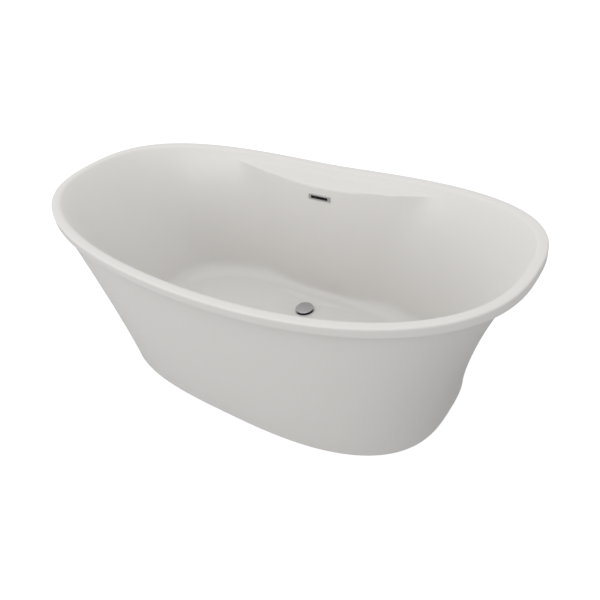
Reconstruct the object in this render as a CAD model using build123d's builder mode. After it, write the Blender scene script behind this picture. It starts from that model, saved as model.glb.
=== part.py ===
"""Double-ended freestanding bathtub: an acrylic basin in a separate flared skirt, on a levelled steel frame.

Millimetres. +X is the tub's length, +Y the side with the overflow, +Z up.
The origin is on the floor, under the middle of the tub.
"""

import os
from math import cos, pi, sin

from build123d import *

# ---- overall form -------------------------------------------------------------------------------
length = 1700.0
width = 850.0
end_height = 605.0            # top of the rim at the two ends
rim_dip = 54.0                # how much lower the rim is at the middle of the long sides
dip_power = 1.51              # how quickly the rim rises from the middle towards the ends
outline_power = 2.56          # squareness of the rim's oval: 2 is an ellipse
outline_steps = 20            # points round every oval
saddle_steps = 8              # spans along the rim's curve
trim_height = 45.0            # lofts run this far above the rim before they are cut to it
trim_reach = 80.0             # cutting shapes run this far past the tub's ends

# ---- basin --------------------------------------------------------------------------------------
shell = 5.0                   # acrylic with its glass-fibre backing
rim_width = 25.0              # flat top of the rim
lip_height = 30.0             # the rim's turned-down outer edge
floor_height = 94.0           # inside floor, away from the drain
floor_under = 78.0            # flat underside that the base board is glued to
floor_inset_ends = 290.0      # how far the floor's edge lies inside the rim's outline, at the ends
floor_inset_sides = 160.0     # the same at the long sides
floor_power = 2.8             # squareness of the floor's oval
end_wall_power = 0.88         # profile of the sloped ends
side_wall_power = 0.65        # profile of the long sides
floor_round = 50.0            # round between the inside wall and the floor
round_levels = (0.0, 0.2, 1.0)  # ovals in the round, as shares of its height
wall_levels = (0.45, 0.78)      # ovals up the wall, as shares of its height
wall_top_lean = 0.25            # lean of the wall's form above the rim, as a share of its mean lean
floor_dish = 8.0              # the dish that falls to the drain
dish_radius = 230.0

# ---- armrest: the far wall steps in under a ledge --------------------------------------------------
ledge_drop = 36.0             # from the rim's top to the ledge's edge
ledge_slope = 0.18            # rise of the ledge towards the wall, per unit of its depth
ledge_steps = 14              # spans along the ledge's curve
ledge_run = 200.0             # the ledge's form starts this far in front of its edge
panel_inset = 180.0           # the panel's foot, inside the rim's outline
panel_lean = 9.2              # degrees from upright
panel_bow_radius = 2300.0     # the panel bows in towards the bather
armrest_share = 0.75          # length of the armrest's form, as a share of the tub's
armrest_start = 50.0          # the armrest's form starts this far under the floor

# ---- skirt --------------------------------------------------------------------------------------
skirt_wall = 4.0
skirt_foot_inset_ends = 208.0   # the skirt's foot, inside the rim's outline, at the ends
skirt_foot_inset_sides = 64.6   # the same at the long sides
skirt_top_inset = 32.5          # the skirt's top, inside the rim's outline
skirt_foot_power = 2.86
skirt_top_power = 3.03
skirt_end_flare = 1.48          # power of the flare at the ends
skirt_side_flare = 0.90         # power of the flare at the sides
skirt_overlap = 5.0             # how far the skirt's top goes up behind the lip
skirt_levels = 4                # ovals that shape the skirt
bond_height = 12.0              # band of bonding paste inside the skirt's top

# ---- base board and steel frame -----------------------------------------------------------------
board_thickness = 12.0
board_margin = 15.0           # the board's edge, inside the flat underside of the basin
board_cutout_radius = 46.0
tube = 25.0                   # square tube of the frame
tube_wall = 1.5
crossbar_inset = 70.0         # from the board's end to the crossbar
crossbar_margin = 175.0       # the crossbar's end, inside the rim's outline
rail_share = 0.34             # place of the rails, as a share of the board's half width
tab_share = 0.634             # place of the tabs, likewise
tab_size = 40.0
tab_thickness = 3.0
board_screw_radius = 2.0
board_screw_head_radius = 4.0
board_screw_head = 2.4
board_screw_bite = 9.0
screw_recess_radius = 1.2
screw_recess_depth = 1.2
screw_pitch = 22.0            # distance between the two screws in a tab or a plate

# ---- levelling feet -----------------------------------------------------------------------------
foot_inset = 25.0             # from the crossbar's end to the foot
stud_radius = 6.0
foot_clearance = 0.05         # running fit of the stud in its nut and in the pad
stud_slack = 0.5              # hole in the crossbar's lower wall
stud_hole_depth = 6.0         # centred on the wall's lower face
foot_nut_height = 10.0
foot_nut_across = 19.0
pad_radius = 22.0
pad_height = 12.0
pad_edge = 4.0
pad_top_radius = 12.0
stud_seat = 5.0               # bottom of the stud above the floor
stud_hex_across = 17.0
stud_hex_height = 4.0
stud_hex_gap = 0.2            # hexagon clear of the pad
stud_top_gap = 10.0           # the stud's top, under the board

# ---- skirt blocks and tie plates ------------------------------------------------------------------
block_length = 70.0
block_reach = 90.0            # cut off where it meets the skirt
tie_screw_shift = 20.0
tie_screw_bite = 14.0
block_height = 40.0
block_low = 24.0
plate_thickness = 3.0

# ---- drain --------------------------------------------------------------------------------------
drain_setback = 111.0         # from the panel's foot to the drain's centre
hole_radius = 23.0            # hole in the basin's floor
flange_radius = 37.0
flange_thickness = 4.5
flange_edge = 1.5             # bevel round the flange
flange_recess = 2.5           # moulded seat for the flange
recess_gap = 0.5
seat_seal = 0.8               # sealant ring under the drain flange
seat_radius = 28.0            # inner edge that the cap closes on
seat_depth = 3.0
seat_chamfer = 2.0
barrel_radius = 22.0
barrel_wall = 2.5
barrel_length = 34.0
hub_radius = 8.0
hub_height = 6.0
spoke_width = 3.0
spoke_count = 4
spoke_drop = 12.0             # top of the spokes below the flange's top
stem_radius = 4.0
stem_clearance = 0.05         # running fit of the stem in the hub
stem_length = 32.0
cap_radius = 33.0
cap_thickness = 3.5
cap_edge = 1.0
cap_crown = 1.6
cap_lift = 6.0                # the open cap stands this far above the flange's top
plug_seal_radius = 26.0
plug_seal_thickness = 2.5
gasket_thickness = 2.0        # rubber gasket under the basin's floor

# ---- waste pipes --------------------------------------------------------------------------------
shoe_radius = 28.0
shoe_flange_radius = 40.0
shoe_flange = 5.0
shoe_wall = 3.0
shoe_bottom = 16.0
thread_gap = 0.2
inlet_z = 41.0
inlet_reach = 62.0            # end of the shoe's side socket, from the drain's centre line
pipe_radius = 16.0
pipe_wall = 2.0
socket_wall = 2.9
socket_gap = 0.1
socket_depth = 16.0
elbow_leg = 38.0
tailpiece_radius = 19.05
tailpiece_wall = 2.0
tailpiece_end = 2.0           # kept above the floor that the tub stands on
tailpiece_grip = 6.0          # how far the tailpiece's spigot goes up inside the shoe
tailpiece_step = 0.55         # the spigot's radius, less than the tailpiece's
tailpiece_shoulder = 0.5      # the full radius ends this far under the shoe
nut_length = 14.0
nut_wall = 2.8
nut_sides = 8
nut_gap = 0.2

# ---- overflow -----------------------------------------------------------------------------------
overflow_drop = 76.0          # the overflow's centre, below the rim
bezel_length = 92.0
bezel_height = 20.0
bezel_thickness = 4.0
bezel_seat = 1.2              # moulded flat in the bowed panel
bezel_gap = 0.5
bezel_corner = 3.0
bezel_round = 1.0
slot_length = 70.0
slot_height = 10.0
sleeve_wall = 1.5
sleeve_depth = 16.0
sleeve_gap = 0.5
overflow_boss = 9.0           # wall thickness at the fitting's flat back
boss_front = 2.5
boss_margin = 6.0             # the boss goes this far past the housing's plate
boss_height = 40.0
overflow_washer = 2.0         # rubber gasket between the boss and the housing
plate_margin = 6.0            # the housing's plate goes this far past the bezel
housing_height = 34.0
housing_back = 2.0            # the housing goes this far behind its spigot
housing_wall = 2.5
spigot_length = 30.0
spigot_grip = 11.0            # how far the spigot goes up inside the housing
fixing_radius = 1.75
fixing_hole_radius = 2.0
fixing_nut_radius = 3.4
fixing_nut_height = 3.0
fixing_nut_gap = 0.3          # between the nut and the housing's body
fixing_tail = 1.5             # stud showing past its nut

parts_folder = "parts"
os.makedirs(parts_folder, exist_ok=True)

# ---- shared forms -------------------------------------------------------------------------------
half_length = length / 2
half_width = width / 2
side_height = end_height - rim_dip
above_rim = end_height + trim_height
drain_floor = floor_height - floor_dish
panel_foot_y = half_width - panel_inset
drain_y = panel_foot_y - drain_setback
drain_axis = Axis((0, drain_y, 0), (0, 0, 1))
up = (Align.CENTER, Align.CENTER, Align.MIN)
down = (Align.CENTER, Align.CENTER, Align.MAX)


def save(builder, name):
    """Label a finished piece and write it."""
    builder.part.label = name
    export_step(builder.part, f"{parts_folder}/{name}.step")


def rim_z(x):
    """Height of the rim's top at a place along the tub."""
    return side_height + rim_dip * abs(x / half_length) ** dip_power


def oval(half_x, half_y, power, z=0.0):
    """A sketch of a squared oval, level, at height z."""
    points = []
    for step in range(outline_steps):
        angle = 2 * pi * step / outline_steps
        reach = (abs(cos(angle)) ** power + abs(sin(angle)) ** power) ** (-1 / power)
        points.append((half_x * reach * cos(angle), half_y * reach * sin(angle)))
    with BuildSketch(Plane.XY.offset(z)) as face:
        with BuildLine():
            Spline(*points, periodic=True)
        make_face()
    return face.sketch


def saddle_places(reach):
    """Places along the tub where the rim's curve is worked out."""
    return [reach * (2 * step / saddle_steps - 1) for step in range(saddle_steps + 1)]


def under_saddle(drop, mode, depth=2 * end_height):
    """Use the space from the rim's top surface, lowered by drop, down through depth."""
    reach = half_length + trim_reach
    top = [(x, rim_z(x) - drop) for x in saddle_places(reach)]
    with BuildSketch(Plane.XZ) as profile:
        with BuildLine():
            Spline(*top)
            if depth > end_height:
                low = end_height - depth
                Polyline(top[-1], (reach, low), (-reach, low), top[0])
            else:
                Spline(*[(x, z - depth) for x, z in top])
                Line(top[0], (top[0][0], top[0][1] - depth))
                Line(top[-1], (top[-1][0], top[-1][1] - depth))
        make_face()
    extrude(profile.sketch, amount=width, both=True, mode=mode)


def wall_ovals(outward):
    """Ovals of the basin's wall, moved outward by a distance, from the floor to above the rim."""
    ovals = []
    for share in round_levels:
        ovals.append(wall_oval(floor_height + floor_round * share, outward))
    for share in wall_levels:
        ovals.append(wall_oval(floor_height + (side_height - floor_height) * share, outward))
    for z in (side_height - lip_height, side_height, above_rim):
        ovals.append(wall_oval(z, outward))
    if outward > 0:
        ovals[0] = wall_oval(floor_under, outward)
    return ovals


def wall_oval(z, outward):
    """The oval of the basin's wall at height z, with the round where it meets the floor."""
    share = min(max((z - floor_height) / (end_height - floor_height), 0.0), 1.0)
    power = floor_power + (outline_power - floor_power) * share
    left_of_round = 1 - min(max((z - floor_height) / floor_round, 0.0), 1.0)
    in_step = floor_round * (1 - (1 - left_of_round**2) ** 0.5) - outward
    half_x = half_length - wall_inset(z, end_height, floor_inset_ends, end_wall_power) - in_step
    half_y = half_width - wall_inset(z, side_height, floor_inset_sides, side_wall_power) - in_step
    return oval(half_x, half_y, power, z)


def wall_inset(z, top, floor_inset, power):
    """How far the inside wall lies inside the rim's outline at height z."""
    depth = (top - z) / (top - floor_height)
    if depth <= 0:
        return rim_width + depth * (floor_inset - rim_width) * wall_top_lean
    return rim_width + (floor_inset - rim_width) * min(depth, 1.0) ** power


panel_slope = Vector(0, sin(panel_lean * pi / 180), cos(panel_lean * pi / 180))


def panel_y(z):
    """The panel's face, at the middle of the tub, at height z."""
    return panel_foot_y + (z - floor_height) * panel_slope.Y / panel_slope.Z


def armrest_block(back):
    """The space that the armrest takes out of the basin, moved out by the wall's thickness back."""
    reach = half_length * armrest_share
    sagitta = panel_bow_radius - (panel_bow_radius**2 - reach**2) ** 0.5
    face_y = panel_y(-armrest_start) + back
    with BuildPart() as block:
        with BuildSketch(Plane.XY.offset(-armrest_start)) as outline:
            with BuildLine():
                ThreePointArc((-reach, face_y + sagitta), (0, face_y), (reach, face_y + sagitta))
                Polyline(
                    (reach, face_y + sagitta),
                    (reach, face_y + width),
                    (-reach, face_y + width),
                    (-reach, face_y + sagitta),
                )
            make_face()
        extrude(outline.sketch, amount=above_rim / panel_slope.Z, dir=panel_slope)
        ledge_top(back)
    return block


def ledge_top(back):
    """Cut a block off at the ledge: parallel to the rim along the tub, and rising towards the wall."""
    reach = half_length
    edge_y = panel_y(side_height - ledge_drop)
    start_drop = ledge_drop + back + ledge_run * ledge_slope
    places = [reach * (2 * step / ledge_steps - 1) for step in range(ledge_steps + 1)]
    top = [(x, rim_z(x) - start_drop) for x in places]
    low = -side_height
    run = Vector(0, 1, ledge_slope).normalized()
    with BuildSketch(Plane((0, edge_y - ledge_run, 0), x_dir=(1, 0, 0), z_dir=(0, -1, 0))) as profile:
        with BuildLine():
            Spline(*top)
            Polyline(top[-1], (reach, low), (-reach, low), top[0])
        make_face()
    extrude(profile.sketch, amount=width, dir=run, mode=Mode.INTERSECT)


def rod(start, along, radius, run_length, mode=Mode.ADD):
    """A round rod from start, in the direction along."""
    with BuildSketch(Plane(start, x_dir=(1, 0, 0), z_dir=along)) as disc:
        Circle(radius)
    extrude(disc.sketch, amount=run_length, mode=mode)


inward = Vector(0, -panel_slope.Z, panel_slope.Y)
overflow_z = side_height - overflow_drop
face_centre = Vector(0, panel_y(overflow_z), overflow_z)


def overflow_plane(behind):
    """A plane parallel to the panel's face, some way behind it; its own z points into the tub."""
    return Plane(face_centre - inward * behind, x_dir=(1, 0, 0), z_dir=inward)


def overflow_box(box_length, box_height, front, back, mode=Mode.ADD, corner=0.0):
    """A box between two depths behind the panel's face, centred on the overflow."""
    with BuildSketch(overflow_plane(back)) as outline:
        if corner > 0:
            RectangleRounded(box_length, box_height, corner)
        else:
            Rectangle(box_length, box_height)
    extrude(outline.sketch, amount=back - front, mode=mode)


def fixing_rods(radius, front, back, mode=Mode.ADD):
    """The pair of fixings beside the slot, between two depths behind the panel's face."""
    with BuildSketch(overflow_plane(back)) as discs:
        with Locations((-fixing_x, 0), (fixing_x, 0)):
            Circle(radius)
    extrude(discs.sketch, amount=back - front, mode=mode)


recess_radius = flange_radius + recess_gap
sleeve_length = slot_length + 2 * sleeve_wall
sleeve_height = slot_height + 2 * sleeve_wall
seat_length = bezel_length + 2 * bezel_gap
seat_height = bezel_height + 2 * bezel_gap
opening_length = sleeve_length + 2 * sleeve_gap
opening_height = sleeve_height + 2 * sleeve_gap
body_length = opening_length + 2 * housing_wall
fixing_x = body_length / 2 + fixing_nut_radius + fixing_nut_gap
housing_plate = bezel_length + 2 * plate_margin
boss_length = housing_plate + 2 * boss_margin

# ---- basin --------------------------------------------------------------------------------------
armrest_front = armrest_block(0.0)
armrest_back = armrest_block(shell)

with BuildPart() as under_rim:
    extrude(oval(half_length - shell, half_width - shell, outline_power), amount=above_rim)
    under_saddle(shell, Mode.INTERSECT)

with BuildPart() as cavity:
    loft(wall_ovals(0.0))
    add(armrest_front.part, mode=Mode.SUBTRACT)

with BuildPart() as basin_form:
    loft(wall_ovals(shell))
    add(armrest_back.part, mode=Mode.SUBTRACT)
    under_saddle(shell / 2, Mode.INTERSECT)

with BuildPart() as basin:
    extrude(oval(half_length, half_width, outline_power), amount=above_rim)
    under_saddle(0.0, Mode.INTERSECT, depth=lip_height)
    add(under_rim.part, mode=Mode.SUBTRACT)
    add(basin_form.part)
    add(cavity.part, mode=Mode.SUBTRACT)
    # The floor falls to the drain in a shallow dish, and the flange sits in a moulded recess.
    with Locations((0, drain_y, drain_floor)):
        Cone(recess_radius, dish_radius, floor_dish, align=up, mode=Mode.SUBTRACT)
    rod((0, drain_y, drain_floor - flange_recess), (0, 0, 1), recess_radius, floor_dish, Mode.SUBTRACT)
    rod((0, drain_y, 0), (0, 0, 1), hole_radius, floor_height, Mode.SUBTRACT)
    # The overflow's fitting has a flat seat in the bowed panel and a flat boss behind it.
    overflow_box(boss_length, boss_height, boss_front, overflow_boss)
    overflow_box(seat_length, seat_height, -bezel_thickness, bezel_seat, Mode.SUBTRACT)
    overflow_box(opening_length, opening_height, 0, overflow_boss, Mode.SUBTRACT)
    fixing_rods(fixing_hole_radius, 0, overflow_boss, Mode.SUBTRACT)
save(basin, "basin")


# ---- skirt --------------------------------------------------------------------------------------
def skirt_ovals(outward):
    """Ovals of the skirt's outer face, moved outward by a distance, from the floor to above the rim."""
    ovals = []
    lip_end_height = end_height - lip_height
    lip_side_height = side_height - lip_height
    for step in range(skirt_levels):
        z = above_rim * step / (skirt_levels - 1)
        end_share = (z / lip_end_height) ** skirt_end_flare
        side_share = (z / lip_side_height) ** skirt_side_flare
        half_x = half_length - skirt_foot_inset_ends + (skirt_foot_inset_ends - skirt_top_inset) * end_share
        half_y = half_width - skirt_foot_inset_sides + (skirt_foot_inset_sides - skirt_top_inset) * side_share
        power = skirt_foot_power + (skirt_top_power - skirt_foot_power) * z / lip_end_height
        ovals.append(oval(half_x + outward, half_y + outward, power, z))
    return ovals


with BuildPart() as skirt_inside:
    loft(skirt_ovals(-skirt_wall))

with BuildPart() as skirt:
    loft(skirt_ovals(0.0))
    add(skirt_inside.part, mode=Mode.SUBTRACT)
    under_saddle(lip_height - skirt_overlap, Mode.INTERSECT)
save(skirt, "skirt")

# ---- bonding paste between the skirt's top and the basin's wall -------------------------------------
with BuildPart() as rim_bond:
    add(skirt_inside.part)
    under_saddle(lip_height - skirt_overlap, Mode.INTERSECT, depth=bond_height)
    add(basin_form.part, mode=Mode.SUBTRACT)
save(rim_bond, "rim_bond")


# ---- base board ---------------------------------------------------------------------------------
board_under = floor_under - board_thickness
underside_inset = floor_round - shell + board_margin
board_half_length = half_length - floor_inset_ends - underside_inset
board_half_width = half_width - floor_inset_sides - underside_inset
crossbar_x = board_half_length - crossbar_inset
tab_y = board_half_width * tab_share
tab_centres = [
    (side_x * (crossbar_x - tube / 2 - tab_size / 2), side_y * tab_y, board_under - tab_thickness)
    for side_x in (-1, 1)
    for side_y in (-1, 1)
]
tab_screw_centres = [
    (x, y + shift, z) for x, y, z in tab_centres for shift in (-screw_pitch / 2, screw_pitch / 2)
]

with BuildPart() as base_board:
    extrude(oval(board_half_length, board_half_width, floor_power, board_under), amount=board_thickness)
    with Locations((0, drain_y, board_under)):
        Cylinder(board_cutout_radius, board_thickness, align=up, mode=Mode.SUBTRACT)
    with Locations(*[(x, y, board_under) for x, y, z in tab_screw_centres]):
        Cylinder(board_screw_radius, board_screw_bite, align=up, mode=Mode.SUBTRACT)
save(base_board, "base_board")

# ---- frame --------------------------------------------------------------------------------------
frame_low = board_under - tube
frame_mid = board_under - tube / 2
rail_y = board_half_width * rail_share
crossbar_end = half_width - crossbar_margin
foot_y = crossbar_end - foot_inset


def square_tube(run_length, start, along):
    """A square tube, with its first end centred on start."""
    side = Vector(0, 0, 1).cross(Vector(*along))
    with BuildPart() as member:
        with BuildSketch(Plane(start, x_dir=side, z_dir=along)) as section:
            Rectangle(tube, tube)
            Rectangle(tube - 2 * tube_wall, tube - 2 * tube_wall, mode=Mode.SUBTRACT)
        extrude(section.sketch, amount=run_length)
    return member


for name, side in (("rail_front", -1), ("rail_back", 1)):
    rail_start = (-crossbar_x + tube / 2, side * rail_y, frame_mid)
    rail = square_tube(2 * crossbar_x - tube, rail_start, (1, 0, 0))
    save(rail, name)

for name, side in (("crossbar_left", -1), ("crossbar_right", 1)):
    crossbar = square_tube(2 * crossbar_end, (side * crossbar_x, -crossbar_end, frame_mid), (0, 1, 0))
    with crossbar:
        with Locations((side * crossbar_x, -foot_y, frame_low), (side * crossbar_x, foot_y, frame_low)):
            Cylinder(stud_radius + stud_slack, stud_hole_depth, mode=Mode.SUBTRACT)
    save(crossbar, name)

with BuildPart() as mount_tabs:
    with Locations(*tab_centres):
        Box(tab_size, tab_size, tab_thickness, align=up)
    with Locations(*tab_screw_centres):
        Cylinder(board_screw_radius, tab_thickness, align=up, mode=Mode.SUBTRACT)
save(mount_tabs, "mount_tabs")

with BuildPart() as board_screws:
    with Locations(*tab_screw_centres):
        Cylinder(board_screw_radius, tab_thickness + board_screw_bite, align=up)
        Cylinder(board_screw_head_radius, board_screw_head, align=down)
    with Locations(*[(x, y, z - board_screw_head) for x, y, z in tab_screw_centres]):
        Cylinder(screw_recess_radius, screw_recess_depth, align=up, mode=Mode.SUBTRACT)
save(board_screws, "board_screws")

# ---- levelling feet -----------------------------------------------------------------------------
foot_places = [(side_x * crossbar_x, side_y * foot_y) for side_x in (-1, 1) for side_y in (-1, 1)]

with BuildPart() as foot_nuts:
    with BuildSketch(Plane.XY.offset(frame_low - foot_nut_height)) as hexagons:
        with Locations(*foot_places):
            RegularPolygon(foot_nut_across / 2, 6, major_radius=False)
            Circle(stud_radius + foot_clearance, mode=Mode.SUBTRACT)
    extrude(hexagons.sketch, amount=foot_nut_height)
save(foot_nuts, "foot_nuts")

for number, (x, y) in enumerate(foot_places, start=1):
    with BuildPart() as foot_pad:
        with BuildSketch(Plane((x, y, 0), x_dir=(1, 0, 0), z_dir=(0, -1, 0))) as half:
            with BuildLine():
                Polyline(
                    (0, 0),
                    (pad_radius, 0),
                    (pad_radius, pad_edge),
                    (pad_top_radius, pad_height),
                    (stud_radius + foot_clearance, pad_height),
                    (stud_radius + foot_clearance, stud_seat - foot_clearance),
                    (0, stud_seat - foot_clearance),
                    (0, 0),
                )
            make_face()
        revolve(half.sketch, axis=Axis((x, y, 0), (0, 0, 1)))
    save(foot_pad, f"foot_pad_{number}")

    with BuildPart() as foot_stud:
        with Locations((x, y, stud_seat)):
            Cylinder(stud_radius, board_under - stud_top_gap - stud_seat, align=up)
        with BuildSketch(Plane((x, y, pad_height + stud_hex_gap))) as hexagon:
            RegularPolygon(stud_hex_across / 2, 6, major_radius=False)
        extrude(hexagon.sketch, amount=stud_hex_height)
    save(foot_stud, f"foot_stud_{number}")

# ---- blocks, plates and screws that tie the skirt's foot to the frame ------------------------------
tie_places = [(side_x * crossbar_x, side_y * crossbar_end) for side_x in (-1, 1) for side_y in (-1, 1)]

with BuildPart() as tie_screws:
    for x, y in tie_places:
        outward = 1 if y > 0 else -1
        for shift in (-tie_screw_shift, tie_screw_shift):
            centre = (x + shift, y, block_low + block_height / 2)
            with BuildSketch(Plane(centre, x_dir=(1, 0, 0), z_dir=(0, outward, 0))) as shank:
                Circle(board_screw_radius)
            extrude(shank.sketch, amount=plate_thickness + tie_screw_bite)
            with BuildSketch(Plane(centre, x_dir=(1, 0, 0), z_dir=(0, -outward, 0))) as head:
                Circle(board_screw_head_radius)
            extrude(head.sketch, amount=board_screw_head)
save(tie_screws, "tie_screws")

# The screws' own shapes drill the blocks and the plates.
with BuildPart() as skirt_blocks:
    for x, y in tie_places:
        outward = 1 if y > 0 else -1
        with Locations((x, y + outward * (plate_thickness + block_reach / 2), block_low)):
            Box(block_length, block_reach, block_height, align=up)
    add(skirt_inside.part, mode=Mode.INTERSECT)
    add(tie_screws.part, mode=Mode.SUBTRACT)
save(skirt_blocks, "skirt_blocks")

with BuildPart() as tie_plates:
    for x, y in tie_places:
        outward = 1 if y > 0 else -1
        with Locations((x, y + outward * plate_thickness / 2, block_low)):
            Box(block_length, plate_thickness, block_height, align=up)
    add(tie_screws.part, mode=Mode.SUBTRACT)
save(tie_plates, "tie_plates")

# ---- drain --------------------------------------------------------------------------------------
flange_top = drain_floor - flange_recess + seat_seal + flange_thickness
flange_under = flange_top - flange_thickness
hub_top = flange_top - spoke_drop


def turned(points):
    """A piece turned about the drain's axis from a half profile of (radius, height) points."""
    with BuildPart() as piece:
        with BuildSketch(Plane((0, drain_y, 0), x_dir=(1, 0, 0), z_dir=(0, -1, 0))) as half:
            with BuildLine():
                Polyline(*points, close=True)
            make_face()
        revolve(half.sketch, axis=drain_axis)
    return piece


barrel_bore = barrel_radius - barrel_wall
seat_step = flange_top - seat_depth
drain_flange = turned(
    [
        (flange_radius, flange_under),
        (flange_radius, flange_top - flange_edge),
        (flange_radius - flange_edge, flange_top),
        (seat_radius + seat_chamfer, flange_top),
        (seat_radius, flange_top - seat_chamfer),
        (seat_radius, seat_step),
        (barrel_bore, seat_step),
        (barrel_bore, flange_under - barrel_length),
        (barrel_radius, flange_under - barrel_length),
        (barrel_radius, flange_under),
    ]
)
with drain_flange:
    with BuildSketch(Plane.XY.offset(hub_top - hub_height)) as spokes:
        with Locations((0, drain_y)):
            with PolarLocations(0, spoke_count):
                Rectangle(barrel_bore + barrel_wall / 2, spoke_width, align=(Align.MIN, Align.CENTER))
            Circle(hub_radius)
            Circle(stem_radius + stem_clearance, mode=Mode.SUBTRACT)
    extrude(spokes.sketch, amount=hub_height)
save(drain_flange, "drain_flange")

drain_seal = turned(
    [
        (hole_radius, flange_under - seat_seal),
        (flange_radius, flange_under - seat_seal),
        (flange_radius, flange_under),
        (hole_radius, flange_under),
    ]
)
save(drain_seal, "drain_seal")
drain_gasket = turned(
    [
        (hole_radius, floor_under - gasket_thickness),
        (shoe_flange_radius, floor_under - gasket_thickness),
        (shoe_flange_radius, floor_under),
        (hole_radius, floor_under),
    ]
)
save(drain_gasket, "drain_gasket")

cap_under = flange_top + cap_lift
crown_radius = (cap_radius**2 + cap_crown**2) / (2 * cap_crown)
crown_middle = (crown_radius**2 - cap_radius**2 / 4) ** 0.5 - (crown_radius - cap_crown)
with BuildPart() as plug_cap:
    with BuildSketch(Plane((0, drain_y, 0), x_dir=(1, 0, 0), z_dir=(0, -1, 0))) as half:
        with BuildLine():
            Line((0, cap_under), (cap_radius - cap_edge, cap_under))
            Line((cap_radius - cap_edge, cap_under), (cap_radius, cap_under + cap_edge))
            Line((cap_radius, cap_under + cap_edge), (cap_radius, cap_under + cap_thickness))
            ThreePointArc(
                (cap_radius, cap_under + cap_thickness),
                (cap_radius / 2, cap_under + cap_thickness + crown_middle),
                (0, cap_under + cap_thickness + cap_crown),
            )
            Line((0, cap_under + cap_thickness + cap_crown), (0, cap_under))
        make_face()
    revolve(half.sketch, axis=drain_axis)
save(plug_cap, "plug_cap")

plug_stem = turned(
    [
        (0, cap_under - stem_length),
        (stem_radius, cap_under - stem_length),
        (stem_radius, cap_under),
        (0, cap_under),
    ]
)
save(plug_stem, "plug_stem")
plug_seal = turned(
    [
        (stem_radius, cap_under - plug_seal_thickness),
        (plug_seal_radius, cap_under - plug_seal_thickness),
        (plug_seal_radius, cap_under),
        (stem_radius, cap_under),
    ]
)
save(plug_seal, "plug_seal")

# ---- waste pipes --------------------------------------------------------------------------------
shoe_top = floor_under - gasket_thickness
passage = pipe_radius - pipe_wall
socket_radius = pipe_radius + socket_gap + socket_wall
housing_front = overflow_boss + overflow_washer
riser_y = face_centre.Y + housing_front + socket_radius
spigot_radius = tailpiece_radius - tailpiece_step


def socket_bore(mouth, inward):
    """Open a pipe's socket at its mouth."""
    rod(mouth, inward, pipe_radius + socket_gap, socket_depth, Mode.SUBTRACT)


drain_shoe = turned(
    [
        (spigot_radius, shoe_bottom),
        (shoe_radius, shoe_bottom),
        (shoe_radius, shoe_top - shoe_flange),
        (shoe_flange_radius, shoe_top - shoe_flange),
        (shoe_flange_radius, shoe_top),
        (barrel_radius + thread_gap, shoe_top),
        (barrel_radius + thread_gap, flange_under - barrel_length),
        (shoe_radius - shoe_wall, flange_under - barrel_length),
        (shoe_radius - shoe_wall, shoe_bottom + shoe_wall),
        (spigot_radius, shoe_bottom + shoe_wall),
    ]
)
inlet_mouth = (0, drain_y + inlet_reach, inlet_z)
with drain_shoe:
    socket_start = shoe_radius - shoe_wall
    rod((0, drain_y + socket_start, inlet_z), (0, 1, 0), socket_radius, inlet_reach - socket_start)
    rod((0, drain_y, inlet_z), (0, 1, 0), passage, inlet_reach, Mode.SUBTRACT)
    socket_bore(inlet_mouth, (0, -1, 0))
save(drain_shoe, "drain_shoe")

tailpiece = turned(
    [
        (tailpiece_radius - tailpiece_wall, tailpiece_end),
        (tailpiece_radius, tailpiece_end),
        (tailpiece_radius, shoe_bottom - tailpiece_shoulder),
        (spigot_radius, shoe_bottom - tailpiece_shoulder),
        (spigot_radius, shoe_bottom + tailpiece_grip),
        (tailpiece_radius - tailpiece_wall, shoe_bottom + tailpiece_grip),
    ]
)
save(tailpiece, "tailpiece")

elbow_front = (0, riser_y - elbow_leg, inlet_z)
elbow_top = (0, riser_y, inlet_z + elbow_leg)
with BuildPart() as waste_elbow:
    with Locations((0, riser_y, inlet_z)):
        Sphere(socket_radius)
    rod((0, riser_y, inlet_z), (0, -1, 0), socket_radius, elbow_leg)
    rod((0, riser_y, inlet_z), (0, 0, 1), socket_radius, elbow_leg)
    with Locations((0, riser_y, inlet_z)):
        Sphere(passage, mode=Mode.SUBTRACT)
    rod((0, riser_y, inlet_z), (0, -1, 0), passage, elbow_leg, Mode.SUBTRACT)
    rod((0, riser_y, inlet_z), (0, 0, 1), passage, elbow_leg, Mode.SUBTRACT)
    socket_bore(elbow_front, (0, 1, 0))
    socket_bore(elbow_top, (0, 0, -1))
save(waste_elbow, "waste_elbow")

with BuildPart() as link_pipe:
    link_start = drain_y + inlet_reach - socket_depth
    link_length = riser_y - elbow_leg + socket_depth - link_start
    rod((0, link_start, inlet_z), (0, 1, 0), pipe_radius, link_length)
    rod((0, link_start, inlet_z), (0, 1, 0), passage, link_length, Mode.SUBTRACT)
save(link_pipe, "link_pipe")

# ---- overflow -----------------------------------------------------------------------------------
nut_front = housing_front + housing_wall
housing_depth = 2 * socket_radius + housing_back

with BuildPart() as overflow_bezel:
    overflow_box(bezel_length, bezel_height, bezel_seat - bezel_thickness, bezel_seat, corner=bezel_corner)
    overflow_box(sleeve_length, sleeve_height, bezel_seat, sleeve_depth)
    overflow_box(slot_length, slot_height, -bezel_thickness, sleeve_depth, Mode.SUBTRACT)
    fixing_rods(fixing_radius, bezel_seat, nut_front + fixing_nut_height + fixing_tail)
    fillet(
        overflow_bezel.faces().sort_by(Axis(face_centre, inward))[-1].outer_wire().edges(),
        radius=bezel_round,
    )
save(overflow_bezel, "overflow_bezel")

with BuildPart() as overflow_gasket:
    overflow_box(housing_plate, housing_height, overflow_boss, housing_front)
    overflow_box(opening_length, opening_height, overflow_boss, housing_front, Mode.SUBTRACT)
    fixing_rods(fixing_radius, overflow_boss, housing_front, Mode.SUBTRACT)
save(overflow_gasket, "overflow_gasket")

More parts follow.
